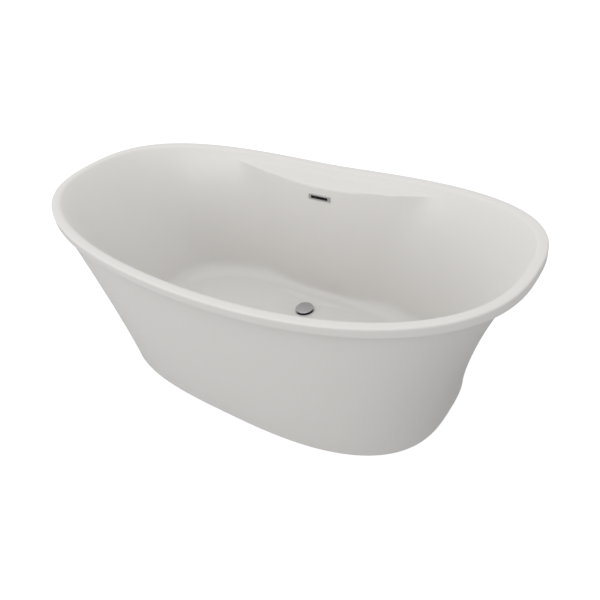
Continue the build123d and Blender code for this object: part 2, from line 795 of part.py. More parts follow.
spigot_end = overflow_z - housing_height / 2 - spigot_length
with BuildPart() as overflow_housing:
    overflow_box(housing_plate, housing_height, housing_front, nut_front)
    overflow_box(body_length, housing_height, housing_front, housing_front + housing_depth)
    rod((0, riser_y, spigot_end), (0, 0, 1), socket_radius, spigot_length + spigot_grip)
    overflow_box(
        body_length - 2 * housing_wall,
        housing_height - 2 * housing_wall,
        nut_front,
        housing_front + housing_depth - housing_wall,
        Mode.SUBTRACT,
    )
    overflow_box(opening_length, opening_height, housing_front, nut_front, Mode.SUBTRACT)
    rod((0, riser_y, spigot_end), (0, 0, 1), passage, spigot_length + spigot_grip, Mode.SUBTRACT)
    socket_bore((0, riser_y, spigot_end), (0, 0, 1))
    fixing_rods(fixing_radius, housing_front, nut_front, Mode.SUBTRACT)
save(overflow_housing, "overflow_housing")

with BuildPart() as overflow_nuts:
    fixing_rods(fixing_nut_radius, nut_front, nut_front + fixing_nut_height)
    fixing_rods(fixing_radius, nut_front, nut_front + fixing_nut_height, Mode.SUBTRACT)
save(overflow_nuts, "overflow_nuts")

with BuildPart() as overflow_pipe:
    riser_start = inlet_z + elbow_leg - socket_depth
    riser_length = spigot_end + socket_depth - riser_start
    rod((0, riser_y, riser_start), (0, 0, 1), pipe_radius, riser_length)
    rod((0, riser_y, riser_start), (0, 0, 1), passage, riser_length, Mode.SUBTRACT)
save(overflow_pipe, "overflow_pipe")

nut_radius = socket_radius + nut_gap + nut_wall
with BuildPart() as slip_nuts:
    nut_mouths = [
        (inlet_mouth, (0, 1, 0)),
        (elbow_front, (0, -1, 0)),
        (elbow_top, (0, 0, 1)),
        ((0, riser_y, spigot_end), (0, 0, -1)),
    ]
    for mouth, outward in nut_mouths:
        start = Vector(*mouth) - Vector(*outward) * nut_length / 2
        with BuildSketch(Plane(start, x_dir=(1, 0, 0), z_dir=outward)) as hexagon:
            RegularPolygon(nut_radius, nut_sides, major_radius=False)
            Circle(socket_radius + nut_gap, mode=Mode.SUBTRACT)
        extrude(hexagon.sketch, amount=nut_length / 2)
        with BuildSketch(Plane(mouth, x_dir=(1, 0, 0), z_dir=outward)) as collar:
            RegularPolygon(nut_radius, nut_sides, major_radius=False)
            Circle(pipe_radius + socket_gap, mode=Mode.SUBTRACT)
        extrude(collar.sketch, amount=nut_length / 2)
save(slip_nuts, "slip_nuts")
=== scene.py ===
"""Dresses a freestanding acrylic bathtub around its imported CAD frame.

Metres. +X is the tub's length, +Y the side with the overflow, +Z up, and the floor is at zero.
Each sub-assembly is a class that builds its pieces, and each finish is a small class that makes one material.
"""

from __future__ import annotations

import logging
from dataclasses import dataclass
from enum import Enum
from math import cos, pi, radians, sin, tan

import bpy
import numpy as np
from mathutils import Matrix, Vector


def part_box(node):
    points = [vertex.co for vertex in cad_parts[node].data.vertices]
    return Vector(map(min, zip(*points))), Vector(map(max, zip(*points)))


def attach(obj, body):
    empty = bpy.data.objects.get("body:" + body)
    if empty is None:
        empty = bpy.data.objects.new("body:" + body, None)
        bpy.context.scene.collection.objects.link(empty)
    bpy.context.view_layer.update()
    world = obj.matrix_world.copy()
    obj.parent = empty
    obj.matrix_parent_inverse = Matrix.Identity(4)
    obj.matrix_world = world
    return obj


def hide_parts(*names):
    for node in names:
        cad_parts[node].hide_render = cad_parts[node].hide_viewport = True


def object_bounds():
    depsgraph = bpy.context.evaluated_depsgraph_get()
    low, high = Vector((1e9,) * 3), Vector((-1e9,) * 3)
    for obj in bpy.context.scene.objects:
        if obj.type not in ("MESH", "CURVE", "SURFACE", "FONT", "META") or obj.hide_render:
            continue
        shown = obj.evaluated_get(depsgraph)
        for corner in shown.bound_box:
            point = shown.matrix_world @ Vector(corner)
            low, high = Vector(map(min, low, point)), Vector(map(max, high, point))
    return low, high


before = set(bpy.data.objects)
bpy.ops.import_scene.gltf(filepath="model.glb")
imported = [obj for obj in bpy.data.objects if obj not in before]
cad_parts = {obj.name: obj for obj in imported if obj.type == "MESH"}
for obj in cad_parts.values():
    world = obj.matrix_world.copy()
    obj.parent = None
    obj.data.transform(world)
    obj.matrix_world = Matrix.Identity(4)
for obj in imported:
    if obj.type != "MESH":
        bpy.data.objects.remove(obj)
cad_low, cad_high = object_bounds()

log = logging.getLogger("bathtub")
Grid = np.ndarray
Colour = tuple[float, float, float]
MM = 0.001


# ---- node helpers ---------------------------------------------------------------------------------
class ShaderGroups:
    """Shader node groups that several finishes share, each built once."""

    _made: dict[str, bpy.types.ShaderNodeTree] = {}

    @classmethod
    def variation(cls) -> bpy.types.ShaderNodeTree:
        """Soft clouds that shift a colour and a roughness a little over the surface.

        Returns:
            A group with inputs Colour, Tint, Amount, Scale, Roughness, Spread and outputs Colour, Roughness.
        """
        if "variation" in cls._made:
            return cls._made["variation"]
        tree = bpy.data.node_groups.new("surface_variation", "ShaderNodeTree")
        face = tree.interface
        face.new_socket("Colour", in_out="INPUT", socket_type="NodeSocketColor")
        face.new_socket("Tint", in_out="INPUT", socket_type="NodeSocketColor")
        for name in ("Amount", "Scale", "Roughness", "Spread"):
            face.new_socket(name, in_out="INPUT", socket_type="NodeSocketFloat")
        face.new_socket("Colour", in_out="OUTPUT", socket_type="NodeSocketColor")
        face.new_socket("Roughness", in_out="OUTPUT", socket_type="NodeSocketFloat")
        nodes, links = tree.nodes, tree.links
        into, out = nodes.new("NodeGroupInput"), nodes.new("NodeGroupOutput")
        place = nodes.new("ShaderNodeTexCoord")
        clouds = nodes.new("ShaderNodeTexNoise")
        clouds.inputs["Detail"].default_value = 4.0
        links.new(place.outputs["Object"], clouds.inputs["Vector"])
        links.new(into.outputs["Scale"], clouds.inputs["Scale"])
        share = nodes.new("ShaderNodeMath")
        share.operation = "MULTIPLY"
        links.new(clouds.outputs["Fac"], share.inputs[0])
        links.new(into.outputs["Amount"], share.inputs[1])
        mix = nodes.new("ShaderNodeMix")
        mix.data_type = "RGBA"
        links.new(share.outputs[0], mix.inputs["Factor"])
        links.new(into.outputs["Colour"], mix.inputs["A"])
        links.new(into.outputs["Tint"], mix.inputs["B"])
        links.new(mix.outputs["Result"], out.inputs["Colour"])
        fine = nodes.new("ShaderNodeTexNoise")
        fine.inputs["Detail"].default_value = 6.0
        finer = nodes.new("ShaderNodeMath")
        finer.operation = "MULTIPLY"
        finer.inputs[1].default_value = 5.0
        links.new(into.outputs["Scale"], finer.inputs[0])
        links.new(place.outputs["Object"], fine.inputs["Vector"])
        links.new(finer.outputs[0], fine.inputs["Scale"])
        centred = nodes.new("ShaderNodeMath")
        centred.operation = "SUBTRACT"
        centred.inputs[1].default_value = 0.5
        links.new(fine.outputs["Fac"], centred.inputs[0])
        rough = nodes.new("ShaderNodeMath")
        rough.operation = "MULTIPLY_ADD"
        rough.use_clamp = True
        links.new(centred.outputs[0], rough.inputs[0])
        links.new(into.outputs["Spread"], rough.inputs[1])
        links.new(into.outputs["Roughness"], rough.inputs[2])
        links.new(rough.outputs[0], out.inputs["Roughness"])
        cls._made["variation"] = tree
        return tree

    @classmethod
    def relief(cls) -> bpy.types.ShaderNodeTree:
        """Long waves with a fine grain on top, as a height in metres.

        Returns:
            A group with inputs Wave Scale, Wave, Grain Scale, Grain and the output Height.
        """
        if "relief" in cls._made:
            return cls._made["relief"]
        tree = bpy.data.node_groups.new("surface_relief", "ShaderNodeTree")
        for name in ("Wave Scale", "Wave", "Grain Scale", "Grain"):
            tree.interface.new_socket(name, in_out="INPUT", socket_type="NodeSocketFloat")
        tree.interface.new_socket("Height", in_out="OUTPUT", socket_type="NodeSocketFloat")
        nodes, links = tree.nodes, tree.links
        into, out = nodes.new("NodeGroupInput"), nodes.new("NodeGroupOutput")
        place = nodes.new("ShaderNodeTexCoord")
        heights = []
        for scale_name, name, detail in (("Wave Scale", "Wave", 2.0), ("Grain Scale", "Grain", 5.0)):
            noise = nodes.new("ShaderNodeTexNoise")
            noise.inputs["Detail"].default_value = detail
            links.new(place.outputs["Object"], noise.inputs["Vector"])
            links.new(into.outputs[scale_name], noise.inputs["Scale"])
            sized = nodes.new("ShaderNodeMath")
            sized.operation = "MULTIPLY"
            links.new(noise.outputs["Fac"], sized.inputs[0])
            links.new(into.outputs[name], sized.inputs[1])
            heights.append(sized)
        total = nodes.new("ShaderNodeMath")
        total.operation = "ADD"
        links.new(heights[0].outputs[0], total.inputs[0])
        links.new(heights[1].outputs[0], total.inputs[1])
        links.new(total.outputs[0], out.inputs["Height"])
        cls._made["relief"] = tree
        return tree

    @classmethod
    def edge_wear(cls) -> bpy.types.ShaderNodeTree:
        """A mask of convex edges, broken up by noise.

        Returns:
            A group with inputs Scale and Strength and the output Mask.
        """
        if "edge_wear" in cls._made:
            return cls._made["edge_wear"]
        tree = bpy.data.node_groups.new("edge_wear", "ShaderNodeTree")
        for name in ("Scale", "Strength"):
            tree.interface.new_socket(name, in_out="INPUT", socket_type="NodeSocketFloat")
        tree.interface.new_socket("Mask", in_out="OUTPUT", socket_type="NodeSocketFloat")
        nodes, links = tree.nodes, tree.links
        into, out = nodes.new("NodeGroupInput"), nodes.new("NodeGroupOutput")
        shape = nodes.new("ShaderNodeNewGeometry")
        edges = nodes.new("ShaderNodeMapRange")
        edges.inputs["From Min"].default_value = 0.53
        edges.inputs["From Max"].default_value = 0.62
        links.new(shape.outputs["Pointiness"], edges.inputs["Value"])
        place = nodes.new("ShaderNodeTexCoord")
        noise = nodes.new("ShaderNodeTexNoise")
        noise.inputs["Detail"].default_value = 5.0
        links.new(place.outputs["Object"], noise.inputs["Vector"])
        links.new(into.outputs["Scale"], noise.inputs["Scale"])
        broken = nodes.new("ShaderNodeMath")
        broken.operation = "MULTIPLY"
        links.new(edges.outputs["Result"], broken.inputs[0])
        links.new(noise.outputs["Fac"], broken.inputs[1])
        sized = nodes.new("ShaderNodeMath")
        sized.operation = "MULTIPLY"
        sized.use_clamp = True
        links.new(broken.outputs[0], sized.inputs[0])
        links.new(into.outputs["Strength"], sized.inputs[1])
        links.new(sized.outputs[0], out.inputs["Mask"])
        cls._made["edge_wear"] = tree
        return tree


@dataclass(frozen=True)
class Finish:
    """One surface finish: a Principled shader fed by the shared groups.

    Attributes:
        name: The material's name.
        colour: Base colour, linear.
        tint: Colour that the clouds drift towards.
        tint_amount: How far they drift.
        cloud_scale: Clouds per metre.
        roughness: Mean roughness.
        roughness_spread: How much the roughness varies.
        metallic: 1 for a metal.
        coat: Weight of a clear coat, on the shader's own socket.
        wave_scale: Long waves per metre in the relief.
        wave_height: Their height in metres.
        grain_scale: Fine grain per metre in the relief.
        grain_height: Its height in metres.
        wear: Strength of the edge wear, or 0 for none.
        wear_colour: Colour that worn edges show.
    """

    name: str
    colour: Colour
    tint: Colour
    tint_amount: float = 0.3
    cloud_scale: float = 6.0
    roughness: float = 0.4
    roughness_spread: float = 0.1
    metallic: float = 0.0
    coat: float = 0.0
    wave_scale: float = 30.0
    wave_height: float = 0.0
    grain_scale: float = 900.0
    grain_height: float = 0.00001
    wear: float = 0.0
    wear_colour: Colour = (0.6, 0.6, 0.6)

    def make(self) -> bpy.types.Material:
        """Build the material, or return it if it has been built.

        Returns:
            The finished material.
        """
        ready = bpy.data.materials.get(self.name)
        if ready is not None:
            return ready
        material = bpy.data.materials.new(self.name)
        material.use_nodes = True
        nodes, links = material.node_tree.nodes, material.node_tree.links
        shader = nodes["Principled BSDF"]
        shader.inputs["Metallic"].default_value = self.metallic
        shader.inputs["Coat Weight"].default_value = self.coat
        shader.inputs["Coat Roughness"].default_value = 0.04
        vary = nodes.new("ShaderNodeGroup")
        vary.node_tree = ShaderGroups.variation()
        vary.inputs["Colour"].default_value = (*self.colour, 1.0)
        vary.inputs["Tint"].default_value = (*self.tint, 1.0)
        vary.inputs["Amount"].default_value = self.tint_amount
        vary.inputs["Scale"].default_value = self.cloud_scale
        vary.inputs["Roughness"].default_value = self.roughness
        vary.inputs["Spread"].default_value = self.roughness_spread
        links.new(vary.outputs["Roughness"], shader.inputs["Roughness"])
        base = self._worn(nodes, links, vary.outputs["Colour"]) if self.wear > 0 else vary.outputs["Colour"]
        base = self.pattern(nodes, links, base)
        links.new(base, shader.inputs["Base Color"])
        relief = nodes.new("ShaderNodeGroup")
        relief.node_tree = ShaderGroups.relief()
        relief.inputs["Wave Scale"].default_value = self.wave_scale
        relief.inputs["Wave"].default_value = self.wave_height
        relief.inputs["Grain Scale"].default_value = self.grain_scale
        relief.inputs["Grain"].default_value = self.grain_height
        bump = nodes.new("ShaderNodeBump")
        bump.inputs["Distance"].default_value = 1.0
        links.new(self.height(nodes, links, relief.outputs["Height"]), bump.inputs["Height"])
        links.new(bump.outputs["Normal"], shader.inputs["Normal"])
        return material

    def _worn(self, nodes: bpy.types.Nodes, links: bpy.types.NodeLinks,
              base: bpy.types.NodeSocket) -> bpy.types.NodeSocket:
        """Mix the worn colour in along convex edges.

        Args:
            nodes: The material's nodes.
            links: The material's links.
            base: The colour so far.

        Returns:
            The socket with the new colour.
        """
        wear = nodes.new("ShaderNodeGroup")
        wear.node_tree = ShaderGroups.edge_wear()
        wear.inputs["Scale"].default_value = 120.0
        wear.inputs["Strength"].default_value = self.wear
        mix = nodes.new("ShaderNodeMix")
        mix.data_type = "RGBA"
        links.new(wear.outputs["Mask"], mix.inputs["Factor"])
        links.new(base, mix.inputs["A"])
        mix.inputs["B"].default_value = (*self.wear_colour, 1.0)
        return mix.outputs["Result"]

    def pattern(self, nodes: bpy.types.Nodes, links: bpy.types.NodeLinks,
                base: bpy.types.NodeSocket) -> bpy.types.NodeSocket:
        """A finish with its own pattern changes the colour here; a plain one doesn't."""
        return base

    def height(self, nodes: bpy.types.Nodes, links: bpy.types.NodeLinks,
               base: bpy.types.NodeSocket) -> bpy.types.NodeSocket:
        """A finish with its own relief adds to the height here; a plain one doesn't."""
        return base


@dataclass(frozen=True)
class ChippedFinish(Finish):
    """A finish broken into chips or strands, such as pressed board or chopped glass fibre.

    Attributes:
        chip_scale: Chips per metre.
        chip_stretch: How much longer than wide the chips are.
        chip_colour: Colour of the palest chips.
        chip_height: Height of the relief in metres.
    """

    chip_scale: float = 220.0
    chip_stretch: float = 3.0
    chip_colour: Colour = (0.8, 0.7, 0.5)
    chip_height: float = 0.0002

    def _chips(self, nodes: bpy.types.Nodes, links: bpy.types.NodeLinks) -> bpy.types.Node:
        """Cells stretched along the surface.

        Args:
            nodes: The material's nodes.
            links: The material's links.

        Returns:
            The Voronoi node.
        """
        place = nodes.new("ShaderNodeTexCoord")
        stretch = nodes.new("ShaderNodeMapping")
        stretch.inputs["Scale"].default_value = (1.0 / self.chip_stretch, 1.0, 1.0)
        stretch.inputs["Rotation"].default_value = (0.3, 0.2, 0.7)
        chips = nodes.new("ShaderNodeTexVoronoi")
        chips.inputs["Scale"].default_value = self.chip_scale
        links.new(place.outputs["Object"], stretch.inputs["Vector"])
        links.new(stretch.outputs["Vector"], chips.inputs["Vector"])
        return chips

    def pattern(self, nodes: bpy.types.Nodes, links: bpy.types.NodeLinks,
                base: bpy.types.NodeSocket) -> bpy.types.NodeSocket:
        """Give each chip its own shade.

        Args:
            nodes: The material's nodes.
            links: The material's links.
            base: The colour so far.

        Returns:
            The socket with the new colour.
        """
        chips = self._chips(nodes, links)
        shade = nodes.new("ShaderNodeSeparateColor")
        links.new(chips.outputs["Color"], shade.inputs["Color"])
        mix = nodes.new("ShaderNodeMix")
        mix.data_type = "RGBA"
        links.new(shade.outputs["Red"], mix.inputs["Factor"])
        links.new(base, mix.inputs["A"])
        mix.inputs["B"].default_value = (*self.chip_colour, 1.0)
        return mix.outputs["Result"]

    def height(self, nodes: bpy.types.Nodes, links: bpy.types.NodeLinks,
               base: bpy.types.NodeSocket) -> bpy.types.NodeSocket:
        """Raise each chip a little.

        Args:
            nodes: The material's nodes.
            links: The material's links.
            base: The height so far.

        Returns:
            The socket with the new height.
        """
        chips = self._chips(nodes, links)
        raised = nodes.new("ShaderNodeMath")
        raised.operation = "MULTIPLY_ADD"
        raised.inputs[1].default_value = self.chip_height
        links.new(chips.outputs["Distance"], raised.inputs[0])
        links.new(base, raised.inputs[2])
        return raised.outputs[0]


@dataclass(frozen=True)
class FloorFinish(Finish):
    """A floor that looks white to the camera but lights the tub only as a pale grey one does.

    Attributes:
        glow: How much brighter it looks to the camera.
    """

    glow: float = 0.72

    def make(self) -> bpy.types.Material:
        """Build the material, and add the camera's share of light.

        Returns:
            The finished material.
        """
        material = super().make()
        nodes, links = material.node_tree.nodes, material.node_tree.links
        seen = nodes.new("ShaderNodeLightPath")
        share = nodes.new("ShaderNodeMath")
        share.operation = "MULTIPLY"
        share.inputs[1].default_value = self.glow
        links.new(seen.outputs["Is Camera Ray"], share.inputs[0])
        shader = nodes["Principled BSDF"]
        shader.inputs["Emission Color"].default_value = (1.0, 1.0, 1.0, 1.0)
        links.new(share.outputs[0], shader.inputs["Emission Strength"])
        return material


@dataclass(frozen=True)
class TurnedFinish(Finish):
    """A metal with the fine rings that turning or polishing leaves round a vertical axis.

    Attributes:
        centre: A point on the axis.
        ring_scale: Rings per metre.
        ring_height: Height of the rings in metres.
    """

    centre: tuple[float, float, float] = (0.0, 0.0, 0.0)
    ring_scale: float = 700.0
    ring_height: float = 0.000004

    def height(self, nodes: bpy.types.Nodes, links: bpy.types.NodeLinks,
               base: bpy.types.NodeSocket) -> bpy.types.NodeSocket:
        """Add rings about the axis.

        Args:
            nodes: The material's nodes.
            links: The material's links.
            base: The height so far.

        Returns:
            The socket with the new height.
        """
        place = nodes.new("ShaderNodeTexCoord")
        centred = nodes.new("ShaderNodeMapping")
        centred.inputs["Location"].default_value = tuple(-value for value in self.centre)
        rings = nodes.new("ShaderNodeTexWave")
        rings.wave_type = "RINGS"
        rings.rings_direction = "Z"
        rings.inputs["Scale"].default_value = self.ring_scale / 20.0
        rings.inputs["Distortion"].default_value = 1.5
        links.new(place.outputs["Object"], centred.inputs["Vector"])
        links.new(centred.outputs["Vector"], rings.inputs["Vector"])
        raised = nodes.new("ShaderNodeMath")
        raised.operation = "MULTIPLY_ADD"
        raised.inputs[1].default_value = self.ring_height
        links.new(rings.outputs["Fac"], raised.inputs[0])
        links.new(base, raised.inputs[2])
        return raised.outputs[0]


drain_low, drain_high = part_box("drain_flange")
drain_centre = ((drain_low.x + drain_high.x) / 2, (drain_low.y + drain_high.y) / 2, 0.0)


class Finishes(Enum):
    """Every finish on the tub."""

    ACRYLIC = Finish(
        "gloss_acrylic", (0.762, 0.748, 0.727), (0.748, 0.733, 0.710), 0.5, 3.5, 0.30, 0.06,
        coat=0.12, wave_scale=24.0, wave_height=0.00005, grain_scale=1500.0, grain_height=0.0000015,
    )
    GLASS_FIBRE = ChippedFinish(
        "glass_fibre_backing", (0.70, 0.66, 0.55), (0.60, 0.55, 0.42), 0.6, 8.0, 0.55, 0.2,
        wave_scale=18.0, wave_height=0.0006, grain_scale=600.0, grain_height=0.00005,
        chip_scale=90.0, chip_stretch=6.0, chip_colour=(0.78, 0.75, 0.66), chip_height=0.0004,
    )
    CHROME = Finish(
        "polished_chrome", (0.62, 0.62, 0.63), (0.50, 0.50, 0.52), 0.5, 40.0, 0.12, 0.08, metallic=1.0,
        grain_scale=2500.0, grain_height=0.000001,
    )
    CAP_CHROME = TurnedFinish(
        "turned_chrome", (0.56, 0.56, 0.57), (0.46, 0.46, 0.48), 0.5, 60.0, 0.24, 0.10, metallic=1.0,
        grain_scale=2500.0, grain_height=0.000001, centre=drain_centre,
    )
    FRAME_STEEL = Finish(
        "powder_coated_steel", (0.035, 0.037, 0.040), (0.055, 0.057, 0.060), 0.5, 12.0, 0.48, 0.15,
        grain_scale=1400.0, grain_height=0.00004, wear=1.2, wear_colour=(0.20, 0.20, 0.21),
    )
    ZINC = Finish(
        "zinc_plated_steel", (0.52, 0.53, 0.55), (0.50, 0.47, 0.36), 0.45, 60.0, 0.32, 0.2, metallic=1.0,
        grain_scale=1800.0, grain_height=0.000006, wear=0.8, wear_colour=(0.72, 0.72, 0.74),
    )
    BRASS = TurnedFinish(
        "turned_brass", (0.62, 0.45, 0.18), (0.42, 0.28, 0.11), 0.5, 45.0, 0.30, 0.18, metallic=1.0,
        grain_scale=1800.0, grain_height=0.000004, centre=drain_centre,
    )
    RUBBER = Finish(
        "black_rubber", (0.018, 0.018, 0.019), (0.035, 0.034, 0.033), 0.5, 50.0, 0.68, 0.15,
        grain_scale=1100.0, grain_height=0.00004,
    )
    SEALANT = Finish(
        "white_sealant", (0.66, 0.65, 0.62), (0.56, 0.54, 0.50), 0.5, 30.0, 0.55, 0.12,
        wave_scale=90.0, wave_height=0.0004, grain_scale=700.0, grain_height=0.00003,
    )
    BOARD = ChippedFinish(
        "pressed_board", (0.36, 0.23, 0.12), (0.26, 0.16, 0.08), 0.5, 10.0, 0.78, 0.12,
        grain_scale=900.0, grain_height=0.00006,
        chip_scale=260.0, chip_stretch=3.5, chip_colour=(0.52, 0.37, 0.20), chip_height=0.00025,
    )
    WASTE_PLASTIC = Finish(
        "white_waste_plastic", (0.62, 0.62, 0.60), (0.55, 0.54, 0.50), 0.5, 20.0, 0.42, 0.12,
        grain_scale=1300.0, grain_height=0.00002, wear=0.4, wear_colour=(0.72, 0.72, 0.70),
    )
    PAD_PLASTIC = Finish(
        "black_pad_plastic", (0.022, 0.022, 0.024), (0.040, 0.040, 0.041), 0.5, 40.0, 0.52, 0.15,
        grain_scale=1500.0, grain_height=0.00005, wear=0.5, wear_colour=(0.10, 0.10, 0.10),
    )
    FLOOR = FloorFinish(
        "pale_floor", (0.50, 0.50, 0.50), (0.48, 0.48, 0.48), 0.4, 0.8, 0.85, 0.05, grain_height=0.0
    )

    def material(self) -> bpy.types.Material:
        """The finish's material."""
        return self.value.make()


# ---- mesh helpers ---------------------------------------------------------------------------------
def mesh_object(name: str, corners: Grid, faces: list[tuple[int, ...]], smooth_angle: float = 32.0
                ) -> bpy.types.Object:
    """Make a mesh object at the origin with smooth faces and sharp creases.

    Args:
        name: The piece's name.
        corners: Vertex positions, one row each.
        faces: Vertex numbers of each face.
        smooth_angle: Edges sharper than this many degrees are marked sharp.

    Returns:
        The linked object.
    """
    mesh = bpy.data.meshes.new(name)
    mesh.from_pydata(corners.tolist(), [], faces)
    mesh.update()
    mesh.shade_smooth()
    mesh.set_sharp_from_angle(angle=radians(smooth_angle))
    made = bpy.data.objects.new(name, mesh)
    bpy.context.scene.collection.objects.link(made)
    return made


def closed_grid(rows: int, columns: int) -> list[tuple[int, int, int, int]]:
    """Faces of a grid that closes on itself both ways, like a bent tube's skin.

    Args:
        rows: Rows of vertices.
        columns: Vertices in each row.

    Returns:
        The faces, as vertex numbers.
    """
    faces = []
    for row in range(rows):
        above = (row + 1) % rows
        for column in range(columns):
            beside = (column + 1) % columns
            faces.append((row * columns + column, row * columns + beside, above * columns + beside,
                          above * columns + column))
    return faces


def signed_volume(corners: Grid, faces: list[tuple[int, int, int, int]]) -> float:
    """Volume of a closed skin, negative when its faces point inwards.

    Args:
        corners: Vertex positions.
        faces: Vertex numbers of each face.

    Returns:
        The volume.
    """
    quads = corners[np.array(faces)]
    first = np.einsum("ij,ij->i", quads[:, 0], np.cross(quads[:, 1], quads[:, 2])).sum()
    second = np.einsum("ij,ij->i", quads[:, 0], np.cross(quads[:, 2], quads[:, 3])).sum()
    return float(first + second) / 6


def skin(name: str, rows: list[Grid]) -> bpy.types.Object:
    """Make a closed skin from rows of vertices that run round it.

    Args:
        name: The piece's name.
        rows: Rows in order; the last is joined to the first.

    Returns:
        The linked object, with its faces outward.
    """
    columns = len(rows[0])
    corners = np.concatenate(rows)
    faces = closed_grid(len(rows), columns)
    if signed_volume(corners, faces) < 0:
        faces = [tuple(reversed(face)) for face in faces]
    return mesh_object(name, corners, faces)


def lathe(name: str, profile: list[tuple[float, float]], centre: tuple[float, float], steps: int = 96
          ) -> bpy.types.Object:
    """Turn a closed half profile about a vertical axis.

    Args:
        name: The piece's name.
        profile: Corners as radius and height, in order round the section.
        centre: The axis' X and Y.
        steps: Faces round the axis.

    Returns:
        The linked object.
    """
    angles = 2 * pi * np.arange(steps) / steps
    rows: list[list[int]] = []
    corners: list[Grid] = []
    count = 0
    for radius, height in profile:
        if radius <= 0:
            corners.append(np.array([[centre[0], centre[1], height]]))
            rows.append([count])
            count += 1
        else:
            ring = np.stack([centre[0] + radius * np.cos(angles), centre[1] + radius * np.sin(angles),
                             np.full(steps, height)], axis=1)
            corners.append(ring)
            rows.append(list(range(count, count + steps)))
            count += steps
    faces: list[tuple[int, ...]] = []
    for index, row in enumerate(rows):
        above = rows[(index + 1) % len(rows)]
        if len(row) == 1 and len(above) == 1:
            continue
        for step in range(steps):
            beside = (step + 1) % steps
            if len(row) == 1:
                faces.append((row[0], above[beside], above[step]))
            elif len(above) == 1:
                faces.append((row[step], row[beside], above[0]))
            else:
                faces.append((row[step], row[beside], above[beside], above[step]))
    return mesh_object(name, np.concatenate(corners), faces)


def arc(centre: tuple[float, float], radius: float, start: float, end: float, steps: int = 6
        ) -> list[tuple[float, float]]:
    """Points on an arc in a profile.

    Args:
        centre: Its centre, as radius and height.
        radius: Its radius.
        start: First angle in degrees.
        end: Last angle in degrees.
        steps: Number of spans.

    Returns:
        The points in order.
    """
    return [
        (centre[0] + radius * cos(radians(start + (end - start) * step / steps)),
         centre[1] + radius * sin(radians(start + (end - start) * step / steps)))
        for step in range(steps + 1)
    ]


def dress(piece: bpy.types.Object, *finishes: Finishes) -> None:
    """Give a piece its materials, in slot order.

    Args:
        piece: The piece.
        finishes: Its finishes, first slot first.
    """
    piece.data.materials.clear()
    for finish in finishes:
        piece.data.materials.append(finish.material())


def soft_min(first: Grid, second: Grid, reach: float) -> Grid:
    """The lesser of two lengths, with the corner between them rounded.

    Args:
        first: One length at each point.
        second: The other.
        reach: How far the rounding goes.

    Returns:
        The lesser length at each point.
    """
    blend = np.clip(0.5 + 0.5 * (second - first) / reach, 0.0, 1.0)
    return second + (first - second) * blend - reach * blend * (1.0 - blend)


def soft_max(first: Grid, second: Grid, reach: float) -> Grid:
    """The greater of two lengths, with the corner between them rounded over a reach."""
    return -soft_min(-first, -second, reach)


# ---- the tub's form --------------------------------------------------------------------------------
@dataclass
class RimForm:
    """The rim's outline in plan and its saddle in height.

    Attributes:
        half_length: Half the tub's length.
        half_width: Half its width.
        end_height: Height of the rim at the ends.
        dip: How much lower the rim is at the middle of the long sides.
        dip_power: How quickly it rises towards the ends.
        power: Squareness of the oval.
        columns: Vertices round the tub.
    """

    half_length: float
    half_width: float
    end_height: float
    dip: float = 0.054
    dip_power: float = 1.51
    power: float = 2.56
    columns: int = 400

    def height(self, x: Grid | float) -> Grid | float:
        """Height of the rim's top at a place along the tub."""
        return self.end_height - self.dip + self.dip * np.abs(x / self.half_length) ** self.dip_power

    def angles(self) -> Grid:
        """The angle of every column of vertices."""
        return 2 * pi * (np.arange(self.columns) + 0.5) / self.columns

    def oval(self, half_x: Grid | float, half_y: Grid | float, power: Grid | float) -> tuple[Grid, Grid]:
        """Plan of a squared oval at every column.

        Args:
            half_x: Half its length.
            half_y: Half its width.
            power: Its squareness.

        Returns:
            The X and Y of every column.
        """
        turn = self.angles()
        reach = (np.abs(np.cos(turn)) ** power + np.abs(np.sin(turn)) ** power) ** (-1 / power)
        return half_x * reach * np.cos(turn), half_y * reach * np.sin(turn)

    def ring(self, inset: float, depth: float) -> Grid:
        """A row of vertices inside the outline by an inset and below the rim's top by a depth."""
        x, y = self.oval(self.half_length - inset, self.half_width - inset, self.power)
        return np.stack([x, y, self.height(x) - depth], axis=1)


